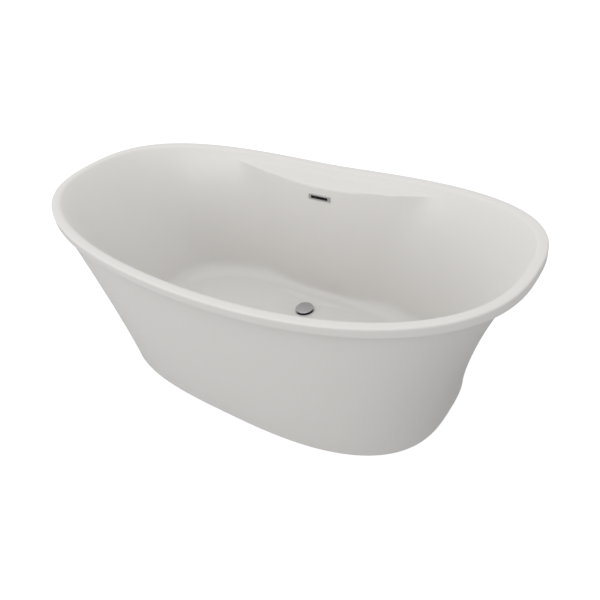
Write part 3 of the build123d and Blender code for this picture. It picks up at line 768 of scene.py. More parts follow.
@dataclass
class Basin:
    """The acrylic basin: rim, turned-down lip, walls with an armrest, dished floor and backing."""

    rim: RimForm
    shell: float = 5.0 * MM
    lip_height: float = 30.0 * MM
    lip_round: float = 6.0 * MM
    lip_foot_round: float = 2.2 * MM
    flat_width: float = 19.0 * MM
    inner_round: float = 10.0 * MM
    inner_turn: float = 55.0
    rim_width: float = 25.0 * MM
    floor_depth: float = 16.0 * MM
    floor_inset_ends: float = 290.0 * MM
    floor_inset_sides: float = 160.0 * MM
    end_power: float = 0.88
    side_power: float = 0.65
    floor_power: float = 2.8
    floor_round: float = 50.0 * MM
    dish: float = 8.0 * MM
    dish_radius: float = 230.0 * MM
    ledge_drop: float = 36.0 * MM
    ledge_slope: float = 0.18
    ledge_round: float = 12.0 * MM
    ledge_corner: float = 26.0 * MM
    crease_round: float = 14.0 * MM
    panel_foot_y: float = 245.0 * MM
    panel_lean: float = 9.2
    bow_radius: float = 2300.0 * MM
    bow_centre: float = 12.0 * MM
    edge_run: float = 48.0 * MM
    recess_radius: float = 37.5 * MM
    recess_depth: float = 2.5 * MM
    hole_radius: float = 23.0 * MM
    cut_share: float = 0.42
    cut_reach: float = 50.0 * MM
    cut_half_height: float = 6.8 * MM
    bond_inset: float = 36.6 * MM
    bond_shares: tuple[float, float, float] = (0.055, 0.067, 0.078)
    fine_steps: int = 700
    ledge_rows: int = 46
    wall_rows: int = 62
    round_rows: int = 14
    floor_rows: int = 24
    back_rows: int = 34

    def __post_init__(self) -> None:
        """Read the heights that the CAD sets."""
        low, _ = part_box("basin")
        self.under = low.z
        self.floor = low.z + self.floor_depth

    def inset(self, depth: Grid, full: float, floor_inset: float, power: float) -> Grid:
        """How far the wall lies inside the outline at a depth below the rim.

        Args:
            depth: Depth below the rim's top.
            full: Depth of the floor below the rim there.
            floor_inset: Inset of the wall at the floor.
            power: Shape of the wall's profile.

        Returns:
            The inset at each depth.
        """
        share = np.clip(depth / full, 0.0, 1.0)
        wall = self.rim_width + (floor_inset - self.rim_width) * share**power
        turn = np.clip(1 - depth / self.inner_round, -1.0, 1.0)
        rounded = self.flat_width + self.inner_round * np.sqrt(1 - turn**2)
        meet = self.inner_round * (1 - cos(radians(self.inner_turn)))
        at_meet = self.rim_width + (floor_inset - self.rim_width) * (meet / full) ** power
        shift = at_meet - (self.flat_width + self.inner_round * sin(radians(self.inner_turn)))
        return np.where(depth < meet, rounded + shift * np.clip(depth / meet, 0, 1), wall)

    def wall_row(self, share: float, outward: float) -> Grid:
        """A row of the wall, before the armrest is pressed in.

        Args:
            share: 0 at the rim's top, 1 at the floor.
            outward: 0 on the inside, or the wall's thickness on the back.

        Returns:
            Positions of every column.
        """
        end_full = self.rim.end_height - self.floor
        side_full = end_full - self.rim.dip
        edge_x, _ = self.rim.ring(self.rim_width, 0.0)[:, :2].T
        top = self.rim.height(edge_x)
        fall = top - self.floor
        above_floor = (1 - share) * fall
        left = np.clip(1 - above_floor / self.floor_round, 0.0, 1.0)
        in_step = self.floor_round * (1 - np.sqrt(1 - left**2)) - outward
        half_x = self.rim.half_length - in_step - self.inset(
            share * fall * end_full / fall, end_full, self.floor_inset_ends, self.end_power)
        half_y = self.rim.half_width - in_step - self.inset(
            share * fall * side_full / fall, side_full, self.floor_inset_sides, self.side_power)
        power = self.rim.power + (self.floor_power - self.rim.power) * share
        x, y = self.rim.oval(half_x, half_y, power)
        return np.stack([x, y, self.floor + above_floor], axis=1)

    def press_armrest(self, points: Grid, outward: float) -> Grid:
        """Step the wall in under the ledge on the overflow's side.

        Args:
            points: Positions on the plain wall.
            outward: 0 on the inside, or the wall's thickness on the back.

        Returns:
            The positions with the armrest.
        """
        x, y, z = points[..., 0], points[..., 1], points[..., 2]
        lean = tan(radians(self.panel_lean))
        along = np.clip(x - self.bow_centre, -1.0, 1.0)
        bow = self.bow_radius - np.sqrt(self.bow_radius**2 - along**2)
        panel = self.panel_foot_y + (z - self.floor) * lean + bow + outward
        edge_z = self.rim.end_height - self.rim.dip - self.ledge_drop
        edge_y = self.panel_foot_y + (edge_z - self.floor) * lean
        above_edge = z - self.rim.height(x) + self.ledge_drop + outward
        ledge = edge_y + above_edge / self.ledge_slope
        block = soft_max(panel, ledge, self.ledge_round)
        on_ledge = np.clip((ledge - panel) / self.ledge_corner, 0.0, 1.0)
        reach = self.crease_round + (self.ledge_corner - self.crease_round) * on_ledge
        stepped = np.where(y > 0.05, soft_min(y, block, reach), y)
        result = points.copy()
        result[..., 1] = stepped
        return result

    def wall_rows_between(self, outward: float, counts: tuple[int, int, int]) -> list[Grid]:
        """Rows from the rim's round to the floor, evenly spaced along each column.

        Args:
            outward: 0 on the inside, or the wall's thickness on the back.
            counts: Rows above the ledge's edge, rows on the wall, and rows in the round at the floor.

        Returns:
            The rows, from the top down.
        """
        even = np.linspace(0.0, 1.0, self.fine_steps)
        dense_top = 0.012 * np.linspace(0.0, 1.0, 60) ** 2
        dense_foot = 1 - 0.11 * np.linspace(1.0, 0.0, 140) ** 2
        shares = np.unique(np.concatenate([even, dense_top, dense_foot]))
        fine = np.stack([self.wall_row(share, outward) for share in shares])
        fine = self.press_armrest(fine, outward)
        steps = np.linalg.norm(np.diff(fine, axis=0), axis=2)
        along = np.concatenate([np.zeros((1, fine.shape[1])), np.cumsum(steps, axis=0)])
        edge_depth = self.ledge_drop + outward
        rows = np.empty((sum(counts) + 1, fine.shape[1], 3))
        for column in range(fine.shape[1]):
            z = fine[:, column, 2]
            length = along[:, column]
            edge = np.interp(-(z[0] - edge_depth), -z, length)
            foot = np.interp(-(self.floor + self.floor_round), -z, length)
            stops = np.concatenate([
                np.linspace(0.0, edge, counts[0], endpoint=False),
                np.linspace(edge, foot, counts[1], endpoint=False),
                np.linspace(foot, length[-1], counts[2] + 1),
            ])
            for axis in range(3):
                rows[:, column, axis] = np.interp(stops, length, fine[:, column, axis])
        return list(rows)

    def floor_between(self, outer: Grid, centre: Vector) -> list[Grid]:
        """Rows over the dished floor, from its edge to the drain's recess.

        Args:
            outer: The last row of the wall.
            centre: The drain's centre.

        Returns:
            The rows, from the edge inwards.
        """
        away = outer[:, :2] - np.array([centre.x, centre.y])
        reach = np.linalg.norm(away, axis=1)
        rows = []
        for step in range(1, self.floor_rows + 1):
            share = (step / self.floor_rows) ** 0.85
            radius = reach + (self.recess_radius - reach) * share
            plan = np.array([centre.x, centre.y]) + away * (radius / reach)[:, None]
            inward = np.clip((reach - radius) / self.edge_run, 0.0, 1.0)
            depth = self.dish * self.dish_share(radius) * inward**2 * (3 - 2 * inward)
            rows.append(np.column_stack([plan, self.floor - depth]))
        return rows

    def dish_share(self, radius: Grid) -> Grid:
        """How far down the dish the floor is.

        Args:
            radius: Distance from the drain's centre.

        Returns:
            0 outside the dish, rising to 1 at the drain's recess.
        """
        share = np.clip(1 - (radius - self.recess_radius) / (self.dish_radius - self.recess_radius), 0, 1)
        return share * share * (3 - 2 * share)

    def circle_row(self, outer: Grid, centre: Vector, radius: float, height: float) -> Grid:
        """A row round the drain, in line with the rows of the floor.

        Args:
            outer: The floor's edge, which gives each column's direction.
            centre: The drain's centre.
            radius: The row's radius.
            height: The row's height.

        Returns:
            The positions.
        """
        away = outer[:, :2] - np.array([centre.x, centre.y])
        plan = np.array([centre.x, centre.y]) + away * (radius / np.linalg.norm(away, axis=1))[:, None]
        return np.column_stack([plan, np.full(len(plan), height)])

    def build(self, drain: Vector) -> bpy.types.Object:
        """Build the basin as one closed skin.

        Args:
            drain: The drain's centre.

        Returns:
            The finished piece.
        """
        ring, foot, lip = self.rim.ring, self.lip_foot_round, self.lip_height
        front = [ring(self.shell, lip - foot), ring(self.shell - foot * 0.3, lip - foot * 0.3),
                 ring(self.shell - foot, lip)]
        front += [ring(foot * (1 - sin(radians(a))), lip - foot * (1 - cos(radians(a))))
                  for a in (0, 30, 60, 90)]
        front += [ring(0.0, lip - foot - (lip - foot - self.lip_round) * step / 4) for step in (1, 2, 3)]
        front += [ring(self.lip_round * (1 - cos(radians(a))), self.lip_round * (1 - sin(radians(a))))
                  for a in (0, 15, 30, 45, 60, 75, 90)]
        flat = self.flat_width - self.lip_round
        front += [ring(self.lip_round + flat * step / 4, 0.0) for step in (1, 2, 3)]
        front += self.wall_rows_between(0.0, (self.ledge_rows, self.wall_rows, self.round_rows))
        edge = front[-1]
        front += self.floor_between(edge, drain)
        seat = self.floor - self.dish - self.recess_depth
        lip_z = self.floor - self.dish - 0.3 * MM
        front.append(self.circle_row(edge, drain, self.recess_radius - 0.4 * MM, lip_z))
        front.append(self.circle_row(edge, drain, self.recess_radius - 0.5 * MM, seat))
        front.append(self.circle_row(edge, drain, self.hole_radius, seat))
        back = [self.circle_row(edge, drain, self.hole_radius, self.under)]
        wall_back = self.wall_rows_between(self.shell, (12, self.back_rows, 8))
        deepest = wall_back[-1].copy()
        deepest[:, 2] = self.under
        away = np.array([drain.x, drain.y, self.under])
        back += [away + (deepest - away) * share for share in (0.25, 0.5, 0.75, 1.0)]
        for row in reversed(wall_back):
            lowered = row.copy()
            ceiling = self.rim.height(row[:, 0]) - self.shell
            span = (ceiling - self.floor)
            share = np.clip((row[:, 2] - self.floor) / span, 0.0, 1.0)
            lowered[:, 2] = row[:, 2] - (1 - share) ** 6 * self.shell
            lowered[:, 2] = np.minimum(lowered[:, 2], ceiling)
            back.append(lowered)
        back += [ring(inset, self.shell) for inset in (16 * MM, 9 * MM, self.shell)]
        back += [ring(self.shell, depth) for depth in (12 * MM, 20 * MM)]
        piece = skin("basin_shell", front + back)
        columns = self.rim.columns
        backs = np.zeros(len(piece.data.polygons), dtype=np.int32)
        backs[len(front) * columns:] = 1
        piece.data.polygons.foreach_set("material_index", backs)
        dress(piece, Finishes.ACRYLIC, Finishes.GLASS_FIBRE)
        self.cut_overflow(piece)
        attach(piece, "tub")
        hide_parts("basin")
        return piece

    def build_bond(self) -> bpy.types.Object:
        """Build the band of bonding paste between the wall's back and the skirt's top.

        Returns:
            The band.
        """
        plain = np.stack([self.wall_row(share, self.shell) for share in self.bond_shares])
        wall = self.press_armrest(plain, self.shell)
        outside = self.rim.ring(self.bond_inset, 0.0)
        rows = [np.column_stack([outside[:, :2], row[:, 2]]) for row in wall[::-1]]
        rows += list(wall)
        piece = skin("rim_bond_band", rows)
        dress(piece, Finishes.SEALANT)
        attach(piece, "tub")
        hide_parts("rim_bond")
        return piece

    def cut_overflow(self, piece: bpy.types.Object) -> None:
        """Cut the overflow's opening through the wall, a little inside the bezel's edge.

        Args:
            piece: The basin.
        """
        low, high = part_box("overflow_gasket")
        centre = (low + high) / 2
        bezel_low, bezel_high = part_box("overflow_bezel")
        half = Vector(((bezel_high.x - bezel_low.x) * self.cut_share, self.cut_reach, self.cut_half_height))
        corners = [(sx * half.x, sy * half.y, sz * half.z)
                   for sx in (-1, 1) for sy in (-1, 1) for sz in (-1, 1)]
        faces = [(0, 1, 3, 2), (4, 6, 7, 5), (0, 4, 5, 1), (2, 3, 7, 6), (0, 2, 6, 4), (1, 5, 7, 3)]
        cutter = mesh_object("overflow_cutter", np.array(corners), faces)
        turn = Matrix.Rotation(radians(-self.panel_lean), 4, "X")
        cutter.data.transform(Matrix.Translation(centre) @ turn)
        cut = piece.modifiers.new("overflow", "BOOLEAN")
        cut.operation = "DIFFERENCE"
        cut.solver = "EXACT"
        cut.object = cutter
        plain = bpy.data.meshes.new_from_object(piece.evaluated_get(bpy.context.evaluated_depsgraph_get()))
        piece.modifiers.remove(cut)
        piece.data = plain
        bpy.data.objects.remove(cutter)


@dataclass
class Skirt:
    """The flared outer shell, whose form is one rule worked out by Geometry Nodes."""

    rim: RimForm
    wall: float = 4.0 * MM
    foot_inset_ends: float = 208.0 * MM
    foot_inset_sides: float = 64.6 * MM
    top_inset: float = 32.5 * MM
    foot_power: float = 2.86
    top_power: float = 3.03
    end_flare: float = 1.48
    side_flare: float = 0.90
    lip_height: float = 30.0 * MM
    overlap: float = 5.0 * MM
    rows: int = 72

    def tree(self) -> bpy.types.GeometryNodeTree:
        """Build the node tree that bends a flat grid into the skirt.

        Returns:
            The tree, whose inputs are the skirt's own sizes.
        """
        tree = bpy.data.node_groups.new("flared_skirt", "GeometryNodeTree")
        face = tree.interface
        face.new_socket("Geometry", in_out="OUTPUT", socket_type="NodeSocketGeometry")
        names = ("Half Length", "Half Width", "End Height", "Dip", "Dip Power", "Foot Inset Ends",
                 "Foot Inset Sides", "Top Inset", "Foot Power", "Top Power", "End Flare", "Side Flare",
                 "Lip Height", "Top Share", "Wall")
        for name in names:
            face.new_socket(name, in_out="INPUT", socket_type="NodeSocketFloat")
        for name in ("Columns", "Rows"):
            face.new_socket(name, in_out="INPUT", socket_type="NodeSocketInt")
        face.new_socket("Finish", in_out="INPUT", socket_type="NodeSocketMaterial")
        nodes, links = tree.nodes, tree.links
        into, out = nodes.new("NodeGroupInput"), nodes.new("NodeGroupOutput")

        def feed(target: bpy.types.NodeSocket, source: bpy.types.NodeSocket | float) -> None:
            """Set a socket from another socket or from a plain number."""
            if isinstance(source, bpy.types.NodeSocket):
                links.new(source, target)
            else:
                target.default_value = source

        def sum_of(operation: str, *values: bpy.types.NodeSocket | float) -> bpy.types.NodeSocket:
            """One step of arithmetic.

            Args:
                operation: The step.
                values: What it works on.

            Returns:
                The socket with the result.
            """
            node = nodes.new("ShaderNodeMath")
            node.operation = operation
            for target, source in zip(node.inputs, values):
                feed(target, source)
            return node.outputs[0]

        def between(low: bpy.types.NodeSocket, high: bpy.types.NodeSocket,
                    share: bpy.types.NodeSocket) -> bpy.types.NodeSocket:
            """A value part of the way from low to high."""
            return sum_of("MULTIPLY_ADD", sum_of("SUBTRACT", high, low), share, low)

        grid = nodes.new("GeometryNodeMeshGrid")
        feed(grid.inputs["Size X"], 1.0)
        feed(grid.inputs["Size Y"], 1.0)
        links.new(sum_of("ADD", into.outputs["Columns"], 1.0), grid.inputs["Vertices X"])
        links.new(into.outputs["Rows"], grid.inputs["Vertices Y"])
        spot = nodes.new("ShaderNodeSeparateXYZ")
        links.new(nodes.new("GeometryNodeInputPosition").outputs[0], spot.inputs[0])
        turn = sum_of("MULTIPLY", sum_of("ADD", spot.outputs["X"], 0.5), 2 * pi)
        share = sum_of("MULTIPLY", sum_of("ADD", spot.outputs["Y"], 0.5), into.outputs["Top Share"])
        half_x = between(
            sum_of("SUBTRACT", into.outputs["Half Length"], into.outputs["Foot Inset Ends"]),
            sum_of("SUBTRACT", into.outputs["Half Length"], into.outputs["Top Inset"]),
            sum_of("POWER", share, into.outputs["End Flare"]),
        )
        half_y = between(
            sum_of("SUBTRACT", into.outputs["Half Width"], into.outputs["Foot Inset Sides"]),
            sum_of("SUBTRACT", into.outputs["Half Width"], into.outputs["Top Inset"]),
            sum_of("POWER", share, into.outputs["Side Flare"]),
        )
        power = between(into.outputs["Foot Power"], into.outputs["Top Power"], share)
        across, along = sum_of("SINE", turn), sum_of("COSINE", turn)
        total = sum_of("ADD", sum_of("POWER", sum_of("ABSOLUTE", along), power),
                       sum_of("POWER", sum_of("ABSOLUTE", across), power))
        reach = sum_of("POWER", total, sum_of("DIVIDE", -1.0, power))
        x = sum_of("MULTIPLY", sum_of("MULTIPLY", half_x, reach), along)
        y = sum_of("MULTIPLY", sum_of("MULTIPLY", half_y, reach), across)
        way = sum_of("ABSOLUTE", sum_of("DIVIDE", x, into.outputs["Half Length"]))
        rise = sum_of("MULTIPLY", into.outputs["Dip"], sum_of("POWER", way, into.outputs["Dip Power"]))
        side_height = sum_of("SUBTRACT", into.outputs["End Height"], into.outputs["Dip"])
        rim_top = sum_of("ADD", side_height, rise)
        z = sum_of("MULTIPLY", share, sum_of("SUBTRACT", rim_top, into.outputs["Lip Height"]))
        place = nodes.new("ShaderNodeCombineXYZ")
        for target, source in zip(place.inputs, (x, y, z)):
            links.new(source, target)
        bend = nodes.new("GeometryNodeSetPosition")
        links.new(grid.outputs["Mesh"], bend.inputs["Geometry"])
        links.new(place.outputs[0], bend.inputs["Position"])
        seam = nodes.new("GeometryNodeMergeByDistance")
        feed(seam.inputs["Distance"], 0.00001)
        links.new(bend.outputs[0], seam.inputs["Geometry"])
        thick = nodes.new("GeometryNodeExtrudeMesh")
        thick.inputs["Individual"].default_value = False
        links.new(seam.outputs[0], thick.inputs["Mesh"])
        links.new(sum_of("MULTIPLY", into.outputs["Wall"], -1.0), thick.inputs["Offset Scale"])
        join = nodes.new("GeometryNodeJoinGeometry")
        inner = nodes.new("GeometryNodeFlipFaces")
        links.new(thick.outputs["Mesh"], inner.inputs["Mesh"])
        links.new(inner.outputs[0], join.inputs[0])
        links.new(seam.outputs[0], join.inputs[0])
        weld = nodes.new("GeometryNodeMergeByDistance")
        feed(weld.inputs["Distance"], 0.00001)
        links.new(join.outputs[0], weld.inputs["Geometry"])
        smooth = nodes.new("GeometryNodeSetShadeSmooth")
        links.new(weld.outputs[0], smooth.inputs["Geometry"])
        real = nodes.new("GeometryNodeRealizeInstances")
        links.new(smooth.outputs[0], real.inputs[0])
        paint = nodes.new("GeometryNodeSetMaterial")
        links.new(real.outputs[0], paint.inputs["Geometry"])
        links.new(into.outputs["Finish"], paint.inputs["Material"])
        links.new(paint.outputs[0], out.inputs[0])
        return tree

    def build(self) -> bpy.types.Object:
        """Build the skirt.

        Returns:
            The finished piece.
        """
        values = {
            "Half Length": self.rim.half_length, "Half Width": self.rim.half_width,
            "End Height": self.rim.end_height, "Dip": self.rim.dip, "Dip Power": self.rim.dip_power,
            "Foot Inset Ends": self.foot_inset_ends, "Foot Inset Sides": self.foot_inset_sides,
            "Top Inset": self.top_inset, "Foot Power": self.foot_power, "Top Power": self.top_power,
            "End Flare": self.end_flare, "Side Flare": self.side_flare, "Lip Height": self.lip_height,
            "Top Share": 1 + self.overlap / (self.rim.end_height - self.lip_height), "Wall": self.wall,
            "Columns": self.rim.columns, "Rows": self.rows, "Finish": Finishes.ACRYLIC.material(),
        }
        piece = grown("skirt_shell", self.tree(), values)
        piece.data.set_sharp_from_angle(angle=radians(40))
        bevel = piece.modifiers.new("foot_round", "BEVEL")
        bevel.width = 1.2 * MM
        bevel.segments = 2
        bevel.limit_method = "ANGLE"
        bevel.angle_limit = radians(50)
        plain = bpy.data.meshes.new_from_object(piece.evaluated_get(bpy.context.evaluated_depsgraph_get()))
        piece.modifiers.remove(bevel)
        piece.data = plain
        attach(piece, "tub")
        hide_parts("skirt")
        return piece


def grown(name: str, tree: bpy.types.GeometryNodeTree, values: dict[str, object]) -> bpy.types.Object:
    """Run a Geometry Nodes tree with named values and keep its result as a plain mesh.

    Args:
        name: The piece's name.
        tree: The node tree.
        values: Each input's value by the input's name.

    Returns:
        The linked object.
    """
    made = bpy.data.objects.new(name, bpy.data.meshes.new(name))
    bpy.context.scene.collection.objects.link(made)
    grower = made.modifiers.new("grow", "NODES")
    grower.node_group = tree
    for socket in tree.interface.items_tree:
        if socket.item_type == "SOCKET" and socket.in_out == "INPUT" and socket.name in values:
            grower[socket.identifier] = values[socket.name]
    made.data.update()
    made.update_tag()
    bpy.context.view_layer.update()
    plain = bpy.data.meshes.new_from_object(made.evaluated_get(bpy.context.evaluated_depsgraph_get()))
    plain.name = name
    made.modifiers.remove(grower)
    made.data = plain
    return made


# ---- drain ----------------------------------------------------------------------------------------
@dataclass
class Drain:
    """The push-down cap above the drain's chrome flange and strainer, which keep their CAD shape."""

    edge_round: float = 1.6 * MM
    crown: float = 1.6 * MM

    def build_cap(self) -> bpy.types.Object:
        """Build the domed cap.

        Returns:
            The finished piece.
        """
        low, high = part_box("plug_cap")
        centre = ((low.x + high.x) / 2, (low.y + high.y) / 2)
        radius = (high.x - low.x) / 2
        top_edge = high.z - self.crown
        crown_radius = (radius**2 + self.crown**2) / (2 * self.crown)
        profile = [(0.0, low.z), (radius * 0.5, low.z), (radius - 2 * self.edge_round, low.z)]
        profile += arc((radius - self.edge_round, low.z + self.edge_round), self.edge_round, -90, 0, 5)
        shoulder = radius - self.edge_round
        profile += arc((shoulder, top_edge - self.edge_round + 0.1 * MM), self.edge_round, 0, 86, 6)
        for step in range(1, 12):
            out = shoulder * (1 - step / 12)
            profile.append((out, high.z - crown_radius + (crown_radius**2 - out**2) ** 0.5))
        profile.append((0.0, high.z))
        piece = lathe("cap", profile, centre)
        dress(piece, Finishes.CAP_CHROME)
        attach(piece, "plug")
        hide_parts("plug_cap")
        return piece

    def build(self) -> list[bpy.types.Object]:
        """Build the drain's own pieces."""
        return [self.build_cap()]


# ---- fasteners and threads --------------------------------------------------------------------------
@dataclass
class Fasteners:
    """Screws with a round recess in the head, set on points by Geometry Nodes."""

    head_radius: float = 4.0 * MM
    head_height: float = 2.4 * MM
    shank_radius: float = 2.0 * MM

    def screw_mesh(self) -> bpy.types.Object:
        """One screw, head down at the origin, its shank along +Z.

        Returns:
            The loose object that the tree sets on its points.
        """
        profile = [(0.0, -self.head_height * 0.45), (self.head_radius * 0.35, -self.head_height * 0.45),
                   (self.head_radius * 0.45, -self.head_height), (self.head_radius * 0.7, -self.head_height)]
        profile += arc((self.head_radius * 0.7, -self.head_height * 0.25), self.head_radius * 0.3, -90, 0, 4)
        profile += [(self.head_radius, 0.0), (self.shank_radius * 0.75, 0.0)]
        turns, length = 7, 9.0 * MM
        for turn in range(turns):
            low = 3.0 * MM + length * turn / turns
            profile += [(self.shank_radius * 0.72, low), (self.shank_radius, low + length / turns / 2)]
        profile += [(self.shank_radius * 0.72, 3.0 * MM + length), (0.0, 3.0 * MM + length)]
        return lathe("screw_pattern", profile, (0.0, 0.0), 20)

    def tree(self) -> bpy.types.GeometryNodeTree:
        """Build the tree that sets a piece on every point, turned to that point's normal."""
        tree = bpy.data.node_groups.new("set_on_points", "GeometryNodeTree")
        face = tree.interface
        face.new_socket("Geometry", in_out="OUTPUT", socket_type="NodeSocketGeometry")
        face.new_socket("Points", in_out="INPUT", socket_type="NodeSocketObject")
        face.new_socket("Piece", in_out="INPUT", socket_type="NodeSocketObject")
        face.new_socket("Seed", in_out="INPUT", socket_type="NodeSocketInt")
        face.new_socket("Finish", in_out="INPUT", socket_type="NodeSocketMaterial")
        nodes, links = tree.nodes, tree.links
        into, out = nodes.new("NodeGroupInput"), nodes.new("NodeGroupOutput")
        where, what = nodes.new("GeometryNodeObjectInfo"), nodes.new("GeometryNodeObjectInfo")
        links.new(into.outputs["Points"], where.inputs["Object"])
        links.new(into.outputs["Piece"], what.inputs["Object"])
        way = nodes.new("GeometryNodeInputNamedAttribute")
        way.data_type = "FLOAT_VECTOR"
        way.inputs["Name"].default_value = "way"
        aim = nodes.new("FunctionNodeAlignRotationToVector")
        aim.axis = "Z"
        links.new(way.outputs["Attribute"], aim.inputs["Vector"])
        spin = nodes.new("FunctionNodeRandomValue")
        spin.data_type = "FLOAT"
        spin.inputs[3].default_value = 2 * pi
        links.new(into.outputs["Seed"], spin.inputs["Seed"])
        about = nodes.new("FunctionNodeAxisAngleToRotation")
        links.new(spin.outputs[1], about.inputs["Angle"])
        both = nodes.new("FunctionNodeRotateRotation")
        both.rotation_space = "LOCAL"
        links.new(aim.outputs[0], both.inputs[0])
        links.new(about.outputs[0], both.inputs[1])
        put = nodes.new("GeometryNodeInstanceOnPoints")
        links.new(where.outputs["Geometry"], put.inputs["Points"])
        links.new(what.outputs["Geometry"], put.inputs["Instance"])
        links.new(both.outputs[0], put.inputs["Rotation"])
        real = nodes.new("GeometryNodeRealizeInstances")
        links.new(put.outputs[0], real.inputs[0])
        paint = nodes.new("GeometryNodeSetMaterial")
        links.new(real.outputs[0], paint.inputs["Geometry"])
        links.new(into.outputs["Finish"], paint.inputs["Material"])
        links.new(paint.outputs[0], out.inputs[0])
        return tree

    def build(self) -> list[bpy.types.Object]:
        """Build both sets of screws.

        Returns:
            The finished pieces.
        """
        tree = self.tree()
        screw = self.screw_mesh()
        made = []
        for name, node, seed in (("board_screw_set", "board_screws", 3), ("tie_screw_set", "tie_screws", 5)):
            places, ways = solid_places(node, self.head_height)
            cloud = bpy.data.meshes.new(name + "_places")
            cloud.from_pydata(places, [], [])
            cloud.attributes.new("way", "FLOAT_VECTOR", "POINT").data.foreach_set(
                "vector", np.array(ways, dtype=np.float32).ravel())
            points = bpy.data.objects.new(name + "_places", cloud)
            bpy.context.scene.collection.objects.link(points)
            piece = grown(name, tree, {"Points": points, "Piece": screw, "Seed": seed,
                                       "Finish": Finishes.ZINC.material()})
            bpy.data.objects.remove(points)
            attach(piece, "tub")
            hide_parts(node)
            made.append(piece)
        bpy.data.objects.remove(screw)
        return made


def loose_parts(node: str) -> list[Grid]:
    """Vertices of each separate solid in a CAD node.

    Args:
        node: The node's name.

    Returns:
        One array of positions for each solid.
    """
    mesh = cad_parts[node].data
    corners = np.empty(len(mesh.vertices) * 3)
    mesh.vertices.foreach_get("co", corners)
    corners = corners.reshape(-1, 3)
    keys = np.unique(np.round(corners, 6), axis=0, return_inverse=True)[1].ravel()
    parent = list(range(keys.max() + 1))

    def root(index: int) -> int:
        """The first of the corners that a corner is joined to."""
        while parent[index] != index:
            parent[index] = parent[parent[index]]
            index = parent[index]
        return index

    for face in mesh.polygons:
        numbers = [keys[vertex] for vertex in face.vertices]
        for number in numbers[1:]:
            parent[root(number)] = root(numbers[0])
    roots = np.array([root(key) for key in keys])
    return [corners[roots == value] for value in sorted(set(roots.tolist()))]


def solid_places(node: str, head_height: float) -> tuple[list[tuple[float, ...]], list[tuple[float, ...]]]:
    """Where each screw's head seats in a CAD node, and which way its shank points.

    Args:
        node: The node's name.
        head_height: Height of a head.

    Returns:
        The places and the directions.
    """
    places, ways = [], []
    for solid in loose_parts(node):
        low, high = solid.min(axis=0), solid.max(axis=0)
        long_axis = int(np.argmax(high - low))
        middle = (low + high) / 2
        spread = np.abs(solid - middle)
        spread[:, long_axis] = 0
        head = solid[spread.max(axis=1) > spread.max() * 0.7]
        sign = 1.0 if head[:, long_axis].mean() < middle[long_axis] else -1.0
        seat = middle.copy()
        seat[long_axis] = (low if sign > 0 else high)[long_axis] + sign * head_height
        way = np.zeros(3)
        way[long_axis] = sign
        places.append(tuple(seat))
        ways.append(tuple(way))
    return places, ways


